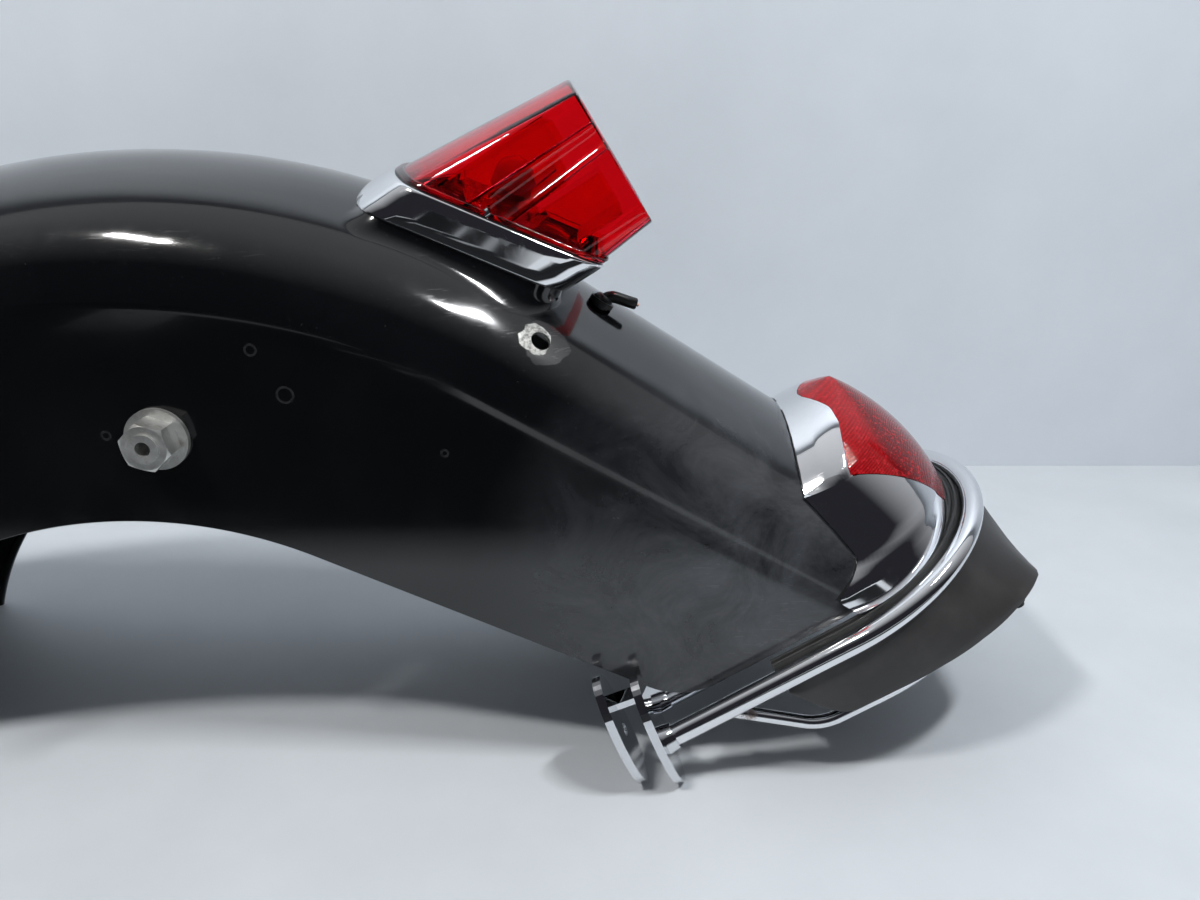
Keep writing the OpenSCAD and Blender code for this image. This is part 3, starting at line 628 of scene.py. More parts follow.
def drill(me, holes):
    """The mesh with round holes cut through it, each by its start, axis, radius and length."""
    ob = put("cutting", me)
    cutters = []
    for k, (start, ax, r, ln) in enumerate(holes):
        cs = Shape()
        tube(cs, [start, start + ax * ln / 2, start + ax * ln], r, 48)
        cutter = put(f"drill_{k}", cs.mesh(f"drill_{k}"))
        mod = ob.modifiers.new(f"drill_{k}", "BOOLEAN")
        mod.operation, mod.solver, mod.object = "DIFFERENCE", "EXACT", cutter
        cutters.append(cutter)
    depsgraph = bpy.context.evaluated_depsgraph_get()
    cut = bpy.data.meshes.new_from_object(ob.evaluated_get(depsgraph))
    for o in [ob, *cutters]:
        bpy.data.objects.remove(o)
    return cut


# Angles of the front holes and of the wiring hole round the wheel, and their sizes
FRONT_HOLE_A = 90 + math.degrees(math.acos(-LIFT / CROWN_R)) - LEAN - 10
FRONT_HOLE_Y, FRONT_HOLE_R = 30.0, 4.5
WIRE_HOLE_A, WIRE_HOLE_R = 32.0, 7.0


def shell_holes():
    holes = [(c - ax * 10, ax, SIGNAL_HOLE_R, 20) for c, ax in (signal_hole(-1), signal_hole(1))]
    for a, y, r in ((FRONT_HOLE_A, -FRONT_HOLE_Y, FRONT_HOLE_R), (FRONT_HOLE_A, FRONT_HOLE_Y, FRONT_HOLE_R),
                    (WIRE_HOLE_A, 0, WIRE_HOLE_R)):
        out = np.array([cos(a), 0, sin(a)])
        holes.append((out * (CROWN_R - 20) + np.array([0, y, 0]), out, r, 40))
    return holes


def edge_stations():
    """The whole lower edge in (x, z), at the stations of the crown's rows."""
    tan_pt, corner = lower_edge()
    angles = np.linspace(arc_limit(EDGE_R), 90 - EDGE_SLOPE, N_ARC, endpoint=False)
    arc = [EDGE_R * np.array([cos(a), sin(a)]) for a in angles]
    return np.concatenate([arc, resample(np.concatenate([[tan_pt], corner]), N_TAIL + 1)])


def side_rows(low, top, y, dists):
    """Side wall from the lower edge up to the shoulder: first at set distances, then at shares."""
    up = top - low
    length = np.linalg.norm(up, axis=1)[:, None]
    cols = [low + up / length * d for d in dists]
    last = cols[-1]
    cols += [last + (top - last) * share for share in SIDE_SHARES]
    return np.stack([np.stack([c[:, 0], np.full(len(c), y), c[:, 1]], -1) for c in cols], 1)


def hem_rows(low, top):
    """Left turned-in hem, from the outer skin round the lower edge and up to the inner skin."""
    outer, inner, back = -HALF_W, WALL - HALF_W, WALL + HEM_T - HALF_W
    pts = [(outer + 0.25, 0.7), (outer + 0.8, 0.15), ((outer + back) / 2, 0.0), (back - 0.8, 0.15),
           (back - 0.2, 0.8), (back, 2.0), (back, HEM_H), (back - 0.3, HEM_H + 0.7), (inner + 0.2, HEM_H + 1)]
    up = top - low
    up /= np.linalg.norm(up, axis=1)[:, None]
    rows = [(low + up * d, y) for y, d in pts]
    return np.stack([np.stack([at[:, 0], np.full(len(low), y), at[:, 1]], -1) for at, y in rows], 1)


def build_shell():
    """One closed skin round the section, then the end faces, then the holes."""
    low = edge_stations()
    outer, inner = crown_rows(0), crown_rows(WALL)
    top = outer[:, 0][:, [0, 2]]
    side_l = side_rows(low, top, -HALF_W, EDGE_DISTS)
    inside_l = side_rows(low, inner[:, 0][:, [0, 2]], WALL - HALF_W, EDGE_DISTS[1:])
    hem_l = hem_rows(low, top)
    side_r, inside_r, hem_r = side_l * MIRROR, inside_l * MIRROR, hem_l * MIRROR
    profile = [side_l, outer, side_r[:, ::-1], hem_r, inside_r, inner[:, ::-1], inside_l[:, ::-1],
               hem_l[:, ::-1]]
    sh = Shape()
    ids = sh.grid(np.concatenate(profile, 1), close_v=True)
    n_out = side_l.shape[1] * 2 + outer.shape[1]
    n_in = inside_l.shape[1] * 2 + inner.shape[1]
    n_hem = hem_l.shape[1]
    outer_ids = ids[:, :n_out]
    hem_r_ids = ids[:, n_out:n_out + n_hem]
    inner_ids = ids[:, n_out + n_hem:n_out + n_hem + n_in][:, ::-1]
    hem_l_ids = ids[:, -n_hem:][:, ::-1]
    for k, flip in ((0, True), (-1, False)):
        # End faces: outer against inner, with the hems as small polygons
        o, i = outer_ids[k], inner_ids[k]
        sh.cap([*hem_l_ids[k], i[0], o[1], o[0]], flip=flip)
        sh.cap([*hem_r_ids[k], i[-1], o[-2], o[-1]], flip=not flip)
        for j in range(1, len(o) - 2):
            sh.cap([o[j], o[j + 1], i[j], i[j - 1]], flip=not flip)
    cut = drill(sh.mesh("fender_paint", 45), shell_holes())
    cut.name = "fender_shell_visual"
    exact_normals(cut)
    stand_in("fender_shell", cut, PAINT)


def read(items, name, width, kind=np.float32):
    """One value of every item in a Blender collection, as an array."""
    out = np.zeros(len(items) * width, kind)
    items.foreach_get(name, out)
    return out.reshape(-1, width)


def exact_normals(me):
    """Sets the true surface normal on every corner that lies on the fender's smooth faces."""
    me.polygons.foreach_set("use_smooth", [True] * len(me.polygons))
    me.set_sharp_from_angle(angle=math.radians(40))
    normals = read(me.corner_normals, "vector", 3)
    corner_points = read(me.vertices, "co", 3)[read(me.loops, "vertex_index", 1, np.int32)[:, 0]]
    totals = read(me.polygons, "loop_total", 1, np.int32)[:, 0]
    fn = np.repeat(read(me.polygons, "normal", 3), totals, axis=0)
    dist, nrm = surface_normal(level(corner_points))
    nrm = turn(nrm)
    d = (fn * nrm).sum(1)
    out = (d > 0.9) & (np.abs(dist) < 0.8)
    inn = (d < -0.9) & (np.abs(dist + WALL) < 0.8)
    normals[out] = nrm[out]
    normals[inn] = -nrm[inn]
    me.normals_split_custom_set(normals.astype(float).tolist())


# Tail lamp
def lamp_loop(d, notch=None):
    """Lamp outline seen from behind, inset by d, as a closed loop of (y, z).

    notch is the half height, depth and middle height of the screw trough in each side.
    """
    w, r, c = LAMP_W, LAMP_ARCH, LAMP_CORNER
    a = math.degrees(math.asin((w - c) / (r - c)))
    deep = r - (r - c) * cos(a)
    t = np.linspace(0, a, 14)
    arch = np.stack([(r - d) * sin(t), LAMP_TOP - (r - (r - d) * cos(t))], -1)
    t = np.linspace(a, 90, 7)[1:]
    corner = np.stack([w - c + (c - d) * sin(t), LAMP_TOP - (deep - (c - d) * cos(t))], -1)
    z_top, z_low = corner[-1][1], LAMP_LOW + c
    y_side = w - d
    if notch:
        half, deep_n, zc = notch
        k = np.linspace(0, 180, 15)
        edge = np.stack([y_side - deep_n * sin(k), zc + half * cos(k)], -1)
        above, below = [[y_side, (z_top + zc + half) / 2]], [[y_side, (z_low + zc - half) / 2]]
        side = np.concatenate([above, edge, below])
    else:
        side = np.stack([np.full(7, y_side), np.linspace(z_top, z_low, 9)[1:-1]], -1)
    t = np.linspace(0, 90, 7)
    low = np.stack([w - c + (c - d) * cos(t), LAMP_LOW + c - (c - d) * sin(t)], -1)
    half_loop = np.concatenate([arch, corner, side, low, [[(w - c) / 2, LAMP_LOW + d]]])
    mirror = half_loop[:0:-1] * np.array([-1, 1])
    return np.concatenate([half_loop, [[0, LAMP_LOW + d]], mirror])


def joint_x(z, off):
    """How far behind the axis the sloped joint of lens and base lies, moved out by off."""
    return LAMP_X + (off - (z - LAMP_TOP) * cos(LAMP_SLOPE)) / sin(LAMP_SLOPE)


def at_joint(loop, off):
    return np.stack([joint_x(loop[:, 1], off), loop[:, 0], loop[:, 1]], -1)


def build_lamp_base():
    """Chrome base, which follows the crown below and has a rounded upper lip."""
    sh = Shape()
    rows = []
    for d, off in ((1.2, -BASE_H), (0.4, -BASE_H + 0.5), (0, -BASE_H + 1.6), (0, -BASE_H * 0.66),
                   (0, -BASE_H * 0.33), (0, -1.8), (0.25, -0.8), (0.9, -0.1), (1.6, 0.0),
                   (3.0, 0.0), (3.2, -1), (3.2, -9), (40, -9)):
        p = at_joint(lamp_loop(d), off)
        p[:, 0] = np.maximum(p[:, 0], surface_x(p[:, 1], p[:, 2]) - 0.5)
        rows.append(p)
    sh.grid(np.array(rows), close_v=True)
    stand_in("lamp_base", sh.mesh("lamp_base_visual", 50), CHROME)


def build_lamp_boss():
    """Painted pad: a hollow fillet from under the base down to the crown."""
    sh = Shape()
    top = at_joint(lamp_loop(1.6), -BASE_H + 0.4)
    under = top.copy()
    under[:, 0] = surface_x(top[:, 1], top[:, 2])
    gap = np.maximum(0, top[:, 0] - under[:, 0])
    top[:, 0] = np.maximum(top[:, 0], under[:, 0] + 0.1)
    wide = lamp_loop(-11)
    share = np.clip(gap / 14, 0.15, 1)[:, None]
    foot2 = lamp_loop(1.6) + (wide - lamp_loop(1.6)) * share
    foot = np.stack([surface_x(foot2[:, 0], foot2[:, 1]) + 0.05, foot2[:, 0], foot2[:, 1]], -1)
    rows = []
    for t in np.linspace(0, 1, 13):
        rows.append((1 - t) ** 2 * top + 2 * t * (1 - t) * (under * 0.75 + foot * 0.25) + t * t * foot)
    sh.grid(np.array(rows), close_v=True)
    stand_in("lamp_boss", sh.mesh("lamp_boss_visual", 60), PAINT)


# Middle height of the lens's screw troughs, the lens's inset, draft and wall
TROUGH_Z, LENS_INSET, LENS_DRAFT, LENS_WALL = 236.0, 3.0, 6.0, 2.5
NO_TROUGH = (0.01, 0.0, TROUGH_Z)


def lens_ring(d, t, bevel=0.0):
    """Outline of the lens at share t of its length, inset by d, with its draft and troughs."""
    trough = (11 - 2.5 * t, 8.5 - 2 * t, TROUGH_Z + 2 * t)
    base = lamp_loop(LENS_INSET + d, notch=trough)
    jx = joint_x(base[:, 1], 0)
    x = jx + t * (LENS_X - jx)
    inset = LENS_INSET + d + bevel + (x - jx) * math.tan(math.radians(LENS_DRAFT))
    loops = {}
    out = []
    for i, v in enumerate(inset):
        key = round(float(v), 1)
        if key not in loops:
            loops[key] = lamp_loop(key, notch=trough)
        out.append([x[i], *loops[key][i]])
    return np.array(out)


def duct(sh, y0, y1, z0, z1, start, end, t=1.3):
    """Four thin walls of a light duct moulded inside the lens."""
    for ya, yb, za, zb in ((y0, y1, z0, z0 + t), (y0, y1, z1 - t, z1), (y0, y0 + t, z0 + t, z1 - t),
                           (y1 - t, y1, z0 + t, z1 - t)):
        ring = [(ya, za), (yb, za), (yb, zb), (ya, zb)]
        sh.bar([[(joint_x(z, start), y, z) for y, z in ring], [(end, y * 0.97, z) for y, z in ring]])


def build_lamp_lens():
    """Lens: flange, drafted body with side troughs, rounded rear edge, hollow with ducts inside."""
    sh = Shape()
    flange = [at_joint(lamp_loop(d, notch=NO_TROUGH), off) for d, off in
              ((5.5, 0.4), (2.2, 0.4), (1.7, 0.9), (1.7, 3.2), (2.1, 3.8), (2.8, 4.0))]
    body = [lens_ring(0, t) for t in (0.045, 0.12, 0.25, 0.4, 0.55, 0.7, 0.82, 0.92, 0.975)]
    tail = [lens_ring(0, 0.99, 0.15), lens_ring(0, 0.997, 0.5), lens_ring(0, 1.0, 1.3)]
    inner = [lens_ring(LENS_WALL, t) for t in (0.98, 0.8, 0.5, 0.2, 0.02)]
    face = tail[-1]
    centre = face.mean(0)
    dome = [centre + (face - centre) * k + np.array([dx, 0, 0])
            for k, dx in ((0.93, 0.0), (0.9, -0.8), (0.6, -0.8), (0.3, -0.8))]
    ids = sh.grid(np.array(flange + body + tail + dome), close_v=True)
    sh.fan(ids[-1], centre + np.array([-0.8, 0, 0]))
    face = inner[0]
    centre = face.mean(0)
    dome = [centre + (face - centre) * k for k in (0.3, 0.6, 0.9)]
    inner_ids = sh.grid(np.array(dome + inner), close_v=True)
    sh.fan(inner_ids[0], centre, flip=True)
    sh.quads(np.array([inner_ids[-1], ids[0]]), close_v=True)
    duct(sh, -44, 44, 243, 263, 4, LENS_X - 22)
    duct(sh, -40, 40, 196, 222, 5, LENS_X - 12)
    duct(sh, -47, -30, 226, 240, 5, LENS_X - 30)
    duct(sh, 30, 47, 226, 240, 5, LENS_X - 30)
    stand_in("lamp_lens", sh.mesh("lamp_lens_visual", 42), LENS)


# Tip lamp
TIP_TOP, TIP_POINT, TIP_X, TIP_LIP, TIP_ARCH = 38.0, 9.0, 531.0, 2.0, 110.0
NOTCH_Z, NOTCH_Y, FOOT_Z, FOOT_Y = -35.0, 86.5, -46.0, 98.7
TIP_LOW, TIP_WALL, TIP_BOW = -62, 2.5, 0.0038


def tip_half(z):
    """Half width at height z of the line where the housing meets the paint."""
    z = np.asarray(z, float)
    arch = np.sqrt(np.maximum(0, TIP_ARCH ** 2 - (TIP_ARCH - TIP_TOP + z) ** 2))
    point = math.sqrt(TIP_ARCH ** 2 - (TIP_ARCH - TIP_TOP + TIP_POINT) ** 2)
    mid = NOTCH_Y + (point - NOTCH_Y) * (z - NOTCH_Z) / (TIP_POINT - NOTCH_Z)
    low = FOOT_Y + (NOTCH_Y - FOOT_Y) * (z - FOOT_Z) / (NOTCH_Z - FOOT_Z)
    return np.where(z >= TIP_POINT, arch, np.where(z >= NOTCH_Z, mid, np.where(z >= FOOT_Z, low, FOOT_Y)))


def tip_surface(a, z, d=0.0):
    """Level section of the tip lamp at height z, at angle a from straight behind."""
    y = tip_half(z)
    x = (CROWN_R - sag(y) - z * cos(TAIL_A)) / sin(TAIL_A)
    reach = TIP_X - TIP_BOW * (z + 50) ** 2 - d - x
    return np.stack([x + reach * cos(a), (y + TIP_LIP - d) * sin(a), z + 0 * a], -1)


def tip_angle(y, z):
    """Angle from straight behind at which the housing's surface lies at distance y."""
    return np.degrees(np.arcsin(np.clip(y / (tip_half(z) + TIP_LIP), -1, 1)))


def window_low(y):
    """Lower border of the tip lens's window at distance y."""
    q = np.abs(y)
    return np.where(q < 43, -55.0, -55 + 60 * (q - 43) / 28)


def roof(y):
    """Height of the housing's upper side where it meets the paint at distance y."""
    return np.sqrt(np.maximum(0, TIP_ARCH ** 2 - np.asarray(y, float) ** 2)) - (TIP_ARCH - TIP_TOP)


def roof_height(x, y):
    """Height at which the housing's surface at distance y lies x behind the axis."""
    lo, hi = np.full_like(y, 0.0), roof(y) - 0.02
    top = hi.copy()
    for _ in range(30):
        mid = (lo + hi) / 2
        out = tip_surface(tip_angle(y, mid), mid)[:, 0] > x
        lo, hi = np.where(out, mid, lo), np.where(out, hi, mid)
    return np.minimum(lo, top)


def visor_x(y):
    """Upper border of the tip lens, as its distance behind the axis."""
    return np.interp(np.abs(y), [0, 8, 18, 30, 42, 52, 62, 71],
                     [479, 480.5, 485, 491, 490.5, 487, 483.5, 480])


# Half widths of the lens's window and of the visor's edge, and the columns' shares of both
WINDOW_Y, EDGE_Y = 71.0, 74.4
ACROSS_TIP = np.sin(np.linspace(-np.pi / 2, np.pi / 2, 61))
# Corner where the window's upper border meets its lower one
CORNER_X = float(visor_x(WINDOW_Y))
CORNER_Z = float(roof_height(np.array([CORNER_X]), np.array([WINDOW_Y]))[0])
CORNER_A = float(tip_angle(WINDOW_Y, CORNER_Z))


def tip_lens_grid(d, inset=0.4):
    """Skin of the tip lens at depth d: the rear face, then the narrow face on top."""
    rows = []
    y = WINDOW_Y * ACROSS_TIP * (1 - 0.01 * inset)
    low, top = window_low(WINDOW_Y * ACROSS_TIP), roof_height(visor_x(y), y)
    for t in np.linspace(0, 1, 29) ** 0.8:
        z = low + inset + (top - low - 1.2 * inset) * t
        z = np.where(top - low < 2 * inset, (top + low) / 2, z)
        rows.append(tip_surface(tip_angle(y, z), z, d))
    end = rows[-1]
    border = np.stack([visor_x(y) + 0.4, y, end[:, 2]], -1)
    near = border[:, 0] > end[:, 0]
    border[near] = end[near]
    rows += [end + (border - end) * k for k in (0.34, 0.67, 1.0)]
    return np.array(rows)


def build_tip_lens():
    sh = Shape()
    outer = sh.grid(tip_lens_grid(-0.3))
    inner = sh.grid(tip_lens_grid(TIP_WALL), flip=True)
    sh.quads(np.array([outer[0], inner[0]]))
    sh.quads(np.array([outer[-1], inner[-1]]))
    stand_in("tip_lens", sh.mesh("tip_lens_visual", 40), TIP_LENS)


def visor_rows():
    """Visor of the housing: from the lens's upper border to the edge on the paint."""
    ys, edge_y = WINDOW_Y * ACROSS_TIP, EDGE_Y * ACROSS_TIP
    edge_z = roof(edge_y)
    edge_x = (CROWN_R - sag(edge_y) - edge_z * cos(TAIL_A)) / sin(TAIL_A)
    shares = np.linspace(0, 1, 17)
    rows = []
    for t in shares:
        y = ys + (edge_y - ys) * t
        x = visor_x(ys) + (edge_x - visor_x(ys)) * t
        rows.append(np.stack([x, y, edge_z if t > 0.999 else roof_height(x, y)], -1))
    rows = np.array(rows)
    # The end columns follow the edge line that the cheeks share
    for col, side in ((0, -1), (-1, 1)):
        rows[:, col] = tip_surface(side * (CORNER_A + (90 - CORNER_A) * shares),
                                   CORNER_Z + (TIP_POINT - CORNER_Z) * shares)
    lip = rows[0] + np.array([0.6, 0, -2.5])
    return np.concatenate([[lip], rows])


def cheek_rows():
    """Cheeks and lower edge: from the lens's lower border out to the paint and down."""
    ts = np.linspace(0, 1, 91)
    y0 = WINDOW_Y - 2 * WINDOW_Y * ts
    z0 = window_low(y0)
    z0[[0, -1]] = CORNER_Z
    a0 = tip_angle(y0, z0)
    ang = np.where(ts < 0.25, 90, np.where(ts > 0.75, -90, 90 - 360 * (ts - 0.25)))
    drop = TIP_POINT - TIP_LOW
    zz = np.where(ts < 0.25, TIP_POINT - drop * ts / 0.25,
                  np.where(ts > 0.75, TIP_LOW + drop * (ts - 0.75) / 0.25, TIP_LOW))
    rows = [tip_surface(a0, z0, TIP_WALL)]
    for t in np.concatenate([np.linspace(0, 0.1, 4)[:-1], np.linspace(0.1, 1, 24)]):
        bulge = 1.6 * math.sin(math.pi * t) * np.sin(np.pi * np.clip(ts * 4, 0, 1))
        rows.append(tip_surface(a0 + (ang - a0) * t, z0 + (zz - z0) * t, -bulge))
    inside = rows[-1] - TIP_WALL * np.stack([cos(ang), sin(ang), 0 * ang], -1)
    return np.array(rows), np.array([rows[-1], inside])


def build_tip_housing():
    sh = Shape()
    sh.grid(visor_rows())
    cheeks, foot = cheek_rows()
    sh.grid(cheeks)
    sh.grid(foot)
    stand_in("tip_housing", sh.mesh("tip_housing_visual", 40), CHROME)


# Bumper
def hoop(r, z, x0, n=64):
    """U-shaped level line: left side from x0, round the rear, right side."""
    ang = np.linspace(-90, 90, n + 1)
    arc = np.stack([RAIL_X + r * cos(ang), r * sin(ang), np.full(n + 1, z)], -1)
    xs = np.linspace(x0, RAIL_X, 8)[:-1]
    left = np.stack([xs, np.full(7, -r), np.full(7, z)], -1)
    return np.concatenate([left, arc, left[::-1] * MIRROR])


FILLER_T, FILLER_FRONT_X, TRIM_FRONT_X = 2.5, 388.0, 386.0
FILLER_R = RAIL_W + FILLER_T / 2 + 0.6
LOW_EDGE = LOW_RAIL_Z + LOW_RAIL_D / 2
# Bend of the lower rail up to the upper one: where it starts, its radius and its angle
LOW_BEND_X, LOW_BEND_R, LOW_BEND_A = 404.0, 30.0, 42.0
# How far the filler's lower edge stands out at angles from straight behind
FLARE_A, FLARE_OUT = [0, 10, 18, 24, 30, 42, 55, 70, 90], [5.2, 7.0, 11.3, 16.4, 14.0, 8.2, 3.6, 0.8, 0]


def build_rails():
    sh = Shape()
    tube(sh, hoop(RAIL_W, RAIL_Z, RAIL_FRONT_X), RAIL_D / 2, 32)
    stand_in("upper_rail", sh.mesh("upper_rail_visual", 50), CHROME)

    r = FILLER_R - FILLER_T - LOW_RAIL_D / 2 - 0.25
    ang = np.linspace(0, LOW_BEND_A, 9)
    bend = np.stack([LOW_BEND_X - LOW_BEND_R * sin(ang), np.full(9, -r),
                     LOW_RAIL_Z + LOW_BEND_R * (1 - cos(ang))], -1)
    rise = (RAIL_Z - LOW_RAIL_Z - LOW_BEND_R * (1 - cos(LOW_BEND_A))) * 0.97
    top = bend[-1] + np.array([-rise / math.tan(math.radians(LOW_BEND_A)), 0, rise])
    left = np.concatenate([[top], [bend[-1] + (top - bend[-1]) * 0.5], bend[::-1]])
    path = np.concatenate([left, hoop(r, LOW_RAIL_Z, LOW_BEND_X)[1:-1], left[::-1] * MIRROR])
    sh = Shape()
    tube(sh, path, LOW_RAIL_D / 2, 24)
    stand_in("lower_rail", sh.mesh("lower_rail_visual", 50), CHROME)


def build_trim():
    """Ribbed rubber trim, its section run along the hoop."""
    outer = RAIL_W - RAIL_D / 2 - 0.125
    low = RAIL_Z - 3
    section_pts = [(0.2, 0), (0, 3), (0.3, 6.5), (1.2, 9.2), (2.2, 9.6), (3.0, 8.4), (3.8, 8.4), (4.5, 9.8),
                   (5.6, 10.2), (6.6, 9.4), (8.6, 8.6), (9, 7), (9, 0)]
    base = hoop(0.0, 0.0, TRIM_FRONT_X)
    out = hoop(1.0, 0.0, TRIM_FRONT_X) - base
    rows = [base + out * (outer - inward) + np.array([0, 0, low + up]) for inward, up in section_pts]
    sh = Shape()
    sh.bar(np.array(rows).transpose(1, 0, 2))
    stand_in("rail_trim", sh.mesh("rail_trim_visual", 40), RUBBER)


def build_filler():
    """Filler panel below the rail, flared out below at its rear corners."""
    top = RAIL_Z - RAIL_D / 2 - 0.2

    def station(x, out, flare, low):
        face = [(flare * (0.25 * t + 0.75 * t * t) + 0.9 * math.sin(math.pi * t), top + (low - top) * t)
                for t in np.linspace(0, 1, 9)]
        end = face[-1]
        rim = [(end[0] - 0.3, end[1] - 0.7), (end[0] - 1.2, end[1] - 1.0), (end[0] - 2.1, end[1] - 0.7)]
        back = [(e - FILLER_T, z) for e, z in face[::-1]]
        return [[x + (FILLER_R + e) * out[0], (FILLER_R + e) * out[1], z] for e, z in face + rim + back]

    xs = np.linspace(FILLER_FRONT_X, 416, 10)
    side = [(x, top - 3 - (top - 3 - LOW_EDGE) * math.sin(math.pi / 2 * k / 9)) for k, x in enumerate(xs)]
    rows = [station(x, (0, -1), 0, low) for x, low in side]
    for a in np.linspace(-90, 90, 73):
        drop = 20 * max(0.0, cos(a)) ** 1.5
        rows.append(station(RAIL_X, (cos(a), sin(a)), np.interp(abs(a), FLARE_A, FLARE_OUT), LOW_EDGE - drop))
    rows += [station(x, (0, 1), 0, low) for x, low in side[::-1]]
    sh = Shape()
    sh.bar(rows)
    stand_in("filler_panel", sh.mesh("filler_visual", 40), FILLER)


# Cut cable stub
LEAD_S, LEAD_Y, CABLE_R, CORE_R, CORE_Y = 36.0, -23.0, 3.5, 0.9, 1.4
# The cable's rise from the crown, the radius and angle of its bend, its straight end and its heading
RISE, BEND_R, BEND_A, STRAIGHT, HEADING = 1.2, 7.5, 78.0, 13.0, 190.0


def at_lead(p):
    """A point of the stub, given about its foot with x along the bend and z up, in the level frame."""
    u, v = cos(HEADING), sin(HEADING)
    x, y, z = p[0] * u - p[1] * v, p[0] * v + p[1] * u, p[2]
    return on_tail(LEAD_S + x, LEAD_Y + y, z - float(sag(LEAD_Y)))


def build_lead():
    """Cut stub of the cable with the boot of its grommet, and its two cores."""
    line = [(0, 0, -12), (0, 0, -4)]
    line += [(BEND_R * cos(a) - BEND_R, 0, RISE + BEND_R * sin(a)) for a in np.linspace(0, BEND_A, 14)]
    ahead = np.array([-sin(BEND_A), 0, cos(BEND_A)])
    end = np.array(line[-1])
    line += [end + ahead * k for k in (STRAIGHT / 2, STRAIGHT - 0.4, STRAIGHT)]
    radii = [CABLE_R] * (len(line) - 1) + [CABLE_R - 0.4]
    sh = Shape()
    tube(sh, [at_lead(p) for p in line], radii, 28)
    boot = ((2.8, 6.4), (4.2, 6.2), (5.6, 5.2), (6.6, 3.8))
    tube(sh, [at_lead((0, 0, z)) for z, _ in boot], [radius for _, radius in boot], 28)
    stand_in("lead_stub", sh.mesh("lead_stub_visual", 45), SEAL)
    sh = Shape()
    for side in (-1, 1):
        core = [line[-1] + ahead * k + np.array([0, side * CORE_Y, 0]) for k in (-2, 0.4, 1.2)]
        tube(sh, [at_lead(p) for p in core], CORE_R, 14)
    stand_in("lead_cores", sh.mesh("lead_cores_visual", 45), COPPER)


# Pieces shown as the CAD has them
CAD_LOOKS = {
    "support_studs": ZINC, "support_washers": ZINC, "support_nuts": ZINC, "lamp_seal": SEAL,
    "lamp_reflector": REFLECTOR, "lamp_socket": SOCKET, "lamp_bulb": BULB, "lamp_screws": CHROME,
    "lead_grommet": RUBBER, "tip_seal": SEAL, "tip_socket": SOCKET, "tip_bulb": BULB,
    "rail_collars": BRUSHED, "filler_screws": RUBBER, "bracket_left": BRUSHED, "bracket_right": BRUSHED,
    "gusset_left": BRUSHED, "gusset_right": BRUSHED}
ROUNDED = ("support_nuts", "support_washers", "support_studs", "bracket_left", "bracket_right",
           "gusset_left", "gusset_right", "lead_grommet")
SHARP = math.radians(32)


def cad_looks():
    """Materials, smooth shading and rounded edges for the nodes that stay as they are."""
    for name, mat in CAD_LOOKS.items():
        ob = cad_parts[name]
        ob.data.materials.clear()
        ob.data.materials.append(mat)
        ob.data.polygons.foreach_set("use_smooth", [True] * len(ob.data.polygons))
        ob.data.set_sharp_from_angle(angle=SHARP)
        if name in ROUNDED:
            bevel = ob.modifiers.new("edge", "BEVEL")
            bevel.width, bevel.segments, bevel.limit_method = 0.0004, 2, "ANGLE"
            bevel.angle_limit = SHARP
            bevel.harden_normals = True


build_shell()
build_lamp_base()
build_lamp_boss()
build_lamp_lens()
build_tip_lens()
build_tip_housing()
build_rails()
build_trim()
build_filler()
build_lead()
cad_looks()


# Stage and light
def stage_plane(name, corners, material):
    me = bpy.data.meshes.new(name)
    me.from_pydata(corners, [], [list(range(len(corners)))])
    me.materials.append(material)
    put(name, me)


def stage_base(m, low, high):
    return m.mix(m.rise(m.noise(5, 5, 0.6), 0.3, 0.7), low, high)


# In front of the part, mirrored rays see a painted reflection: past the bench's front the floor is painted
# near black as a dark room, and far away it shines with pale painted light strips, though it is no lamp, each
# strip at its x with its half width and level. All in metres.
BENCH_FRONT_Y, ROOM_Y, WINDOW_X = -0.36, -1.3, -0.06
PAINTED_LIGHT_STRIPS = ((-0.29, 0.016, 0.7), (-0.15, 0.03, 0.35), (-0.75, 0.10, 0.5))


def floor_material():
    m = Mat("floor")
    m.set(rough=0.55, spec=0.3)
    x, y, _ = m.xyz()
    mirrored = m.node("ShaderNodeLightPath").outputs["Is Glossy Ray"]
    # Painted reflection: glossy rays past the bench's front see the floor painted near black
    far = m.mul(m.sub(BENCH_FRONT_Y, y), 11.0, clamp=True)
    base = stage_base(m, (0.54, 0.57, 0.60), (0.60, 0.63, 0.66))
    base = m.mix(m.mul(far, mirrored), base, (0.004, 0.005, 0.006))
    # Painted light: far off, glossy rays see the floor shine in pale strips and a pale area, though it is no
    # lamp
    room = m.mul(m.sub(ROOM_Y, y), 5.0, clamp=True)
    pale = m.mul(m.sub(x, WINDOW_X), 9.0, clamp=True)
    for centre, half, strength in PAINTED_LIGHT_STRIPS:
        strip = m.sub(half, m.math("ABSOLUTE", m.sub(x, centre)))
        strip = m.mul(m.mul(strip, 60.0, clamp=True), strength)
        pale = m.add(pale, strip)
    painted_glow = m.mul(m.mul(room, pale), mirrored)
    # Painted light: emission seen only in mirrored rays
    m.b.inputs["Emission Color"].default_value = (0.90, 0.95, 1.0, 1)
    m.link(m.mul(painted_glow, 0.75), m.b.inputs["Emission Strength"])
    m.use(base=base, normal=m.bump(m.noise(60, 3), 0.02, 0.001))
    return m.m


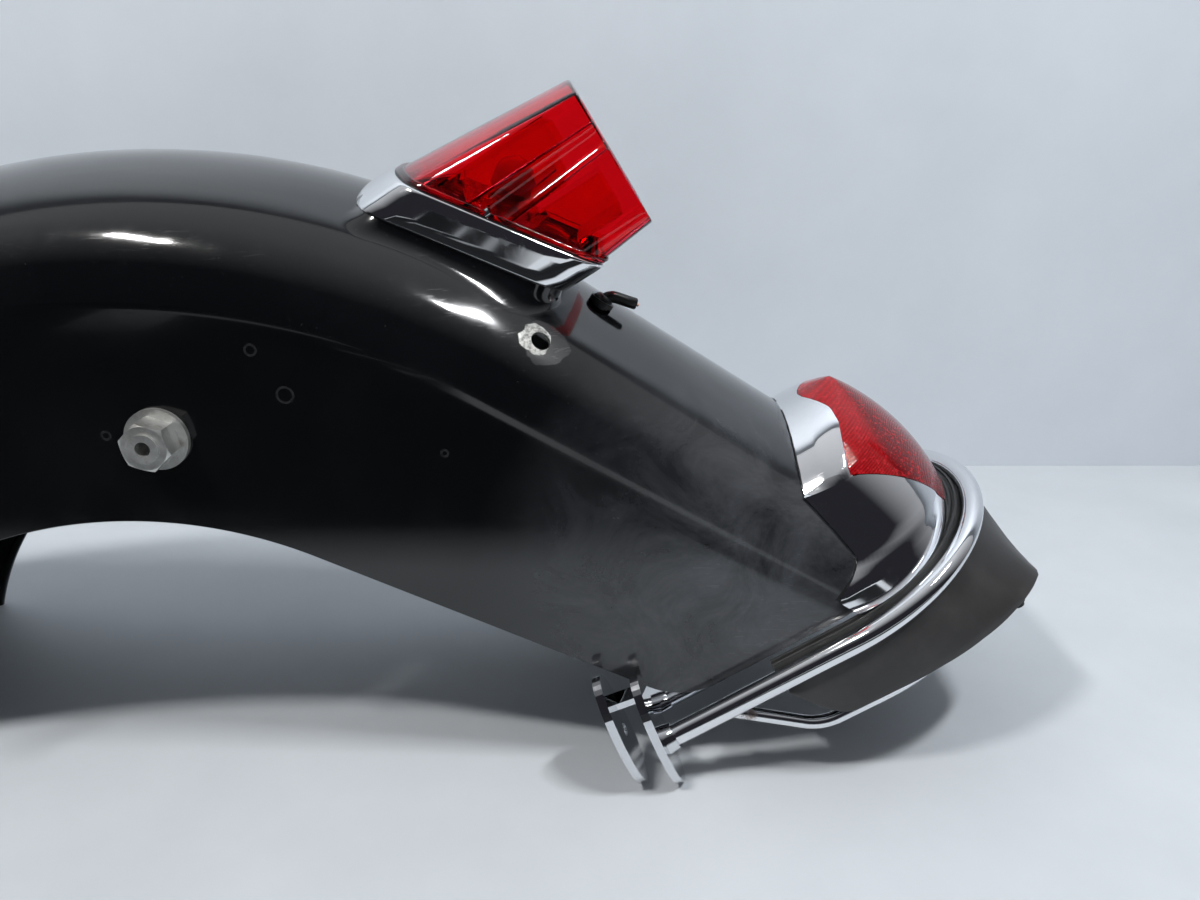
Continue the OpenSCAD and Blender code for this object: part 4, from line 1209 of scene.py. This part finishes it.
def wall_material():
    """Pale wall, clear when seen from behind, so that the part can be viewed from every side."""
    m = Mat("backdrop")
    m.set(rough=0.55, spec=0.3)
    m.use(base=stage_base(m, (0.74, 0.79, 0.85), (0.80, 0.85, 0.91)),
          normal=m.bump(m.noise(60, 3), 0.02, 0.001))
    mix = m.node("ShaderNodeMixShader")
    m.link(m.node("ShaderNodeNewGeometry").outputs["Backfacing"], mix.inputs[0])
    m.link(m.b.outputs[0], mix.inputs[1])
    m.link(m.node("ShaderNodeBsdfTransparent").outputs[0], mix.inputs[2])
    output = next(n for n in m.t.nodes if n.type == "OUTPUT_MATERIAL")
    m.link(mix.outputs[0], output.inputs["Surface"])
    return m.m


# Half width of the floor, place and height of the wall, in metres
REACH, WALL_Y, WALL_H = 4, 0.415, 3
stage_plane("floor", [(-REACH, -REACH, 0), (REACH, -REACH, 0), (REACH, REACH, 0), (-REACH, REACH, 0)],
            floor_material())
stage_plane("wall", [(-REACH, WALL_Y, 0), (REACH, WALL_Y, 0), (REACH, WALL_Y, WALL_H),
                     (-REACH, WALL_Y, WALL_H)], wall_material())


def area(name, loc, target, size, power, colour):
    """An area lamp at loc, turned to its target."""
    lamp = bpy.data.lights.new(name, "AREA")
    lamp.shape = "RECTANGLE"
    lamp.size, lamp.size_y = size
    lamp.energy = power
    lamp.color = colour
    ob = put(name, lamp)
    ob.location = loc
    ob.rotation_euler = (Vector(target) - Vector(loc)).to_track_quat("-Z", "Y").to_euler()


area("key", (-0.75, -0.8, 1.9), (0, 0, 0.1), (0.30, 0.08), 22, (1.0, 0.99, 0.97))
area("fill", (1.0, -0.5, 2.1), (0.2, 0.1, 0.1), (0.5, 0.12), 26, (0.96, 0.98, 1.0))


def build_world():
    """Soft surrounding light: dark in front and below, pale towards the wall and above."""
    world = bpy.data.worlds.new("world")
    bpy.context.scene.world = world
    n = Nodes(world, "Generated")
    _, y, z = n.xyz()
    tone = n.add(n.mul(z, 0.45), n.add(n.mul(y, 0.5), 0.35))
    background = n.t.nodes["Background"]
    n.link(n.ramp(tone, [(0.25, (0.02, 0.02, 0.025)), (0.9, (0.75, 0.77, 0.8))]), background.inputs["Color"])
    background.inputs["Strength"].default_value = 0.95


build_world()
bpy.context.scene.view_settings.view_transform = "Standard"
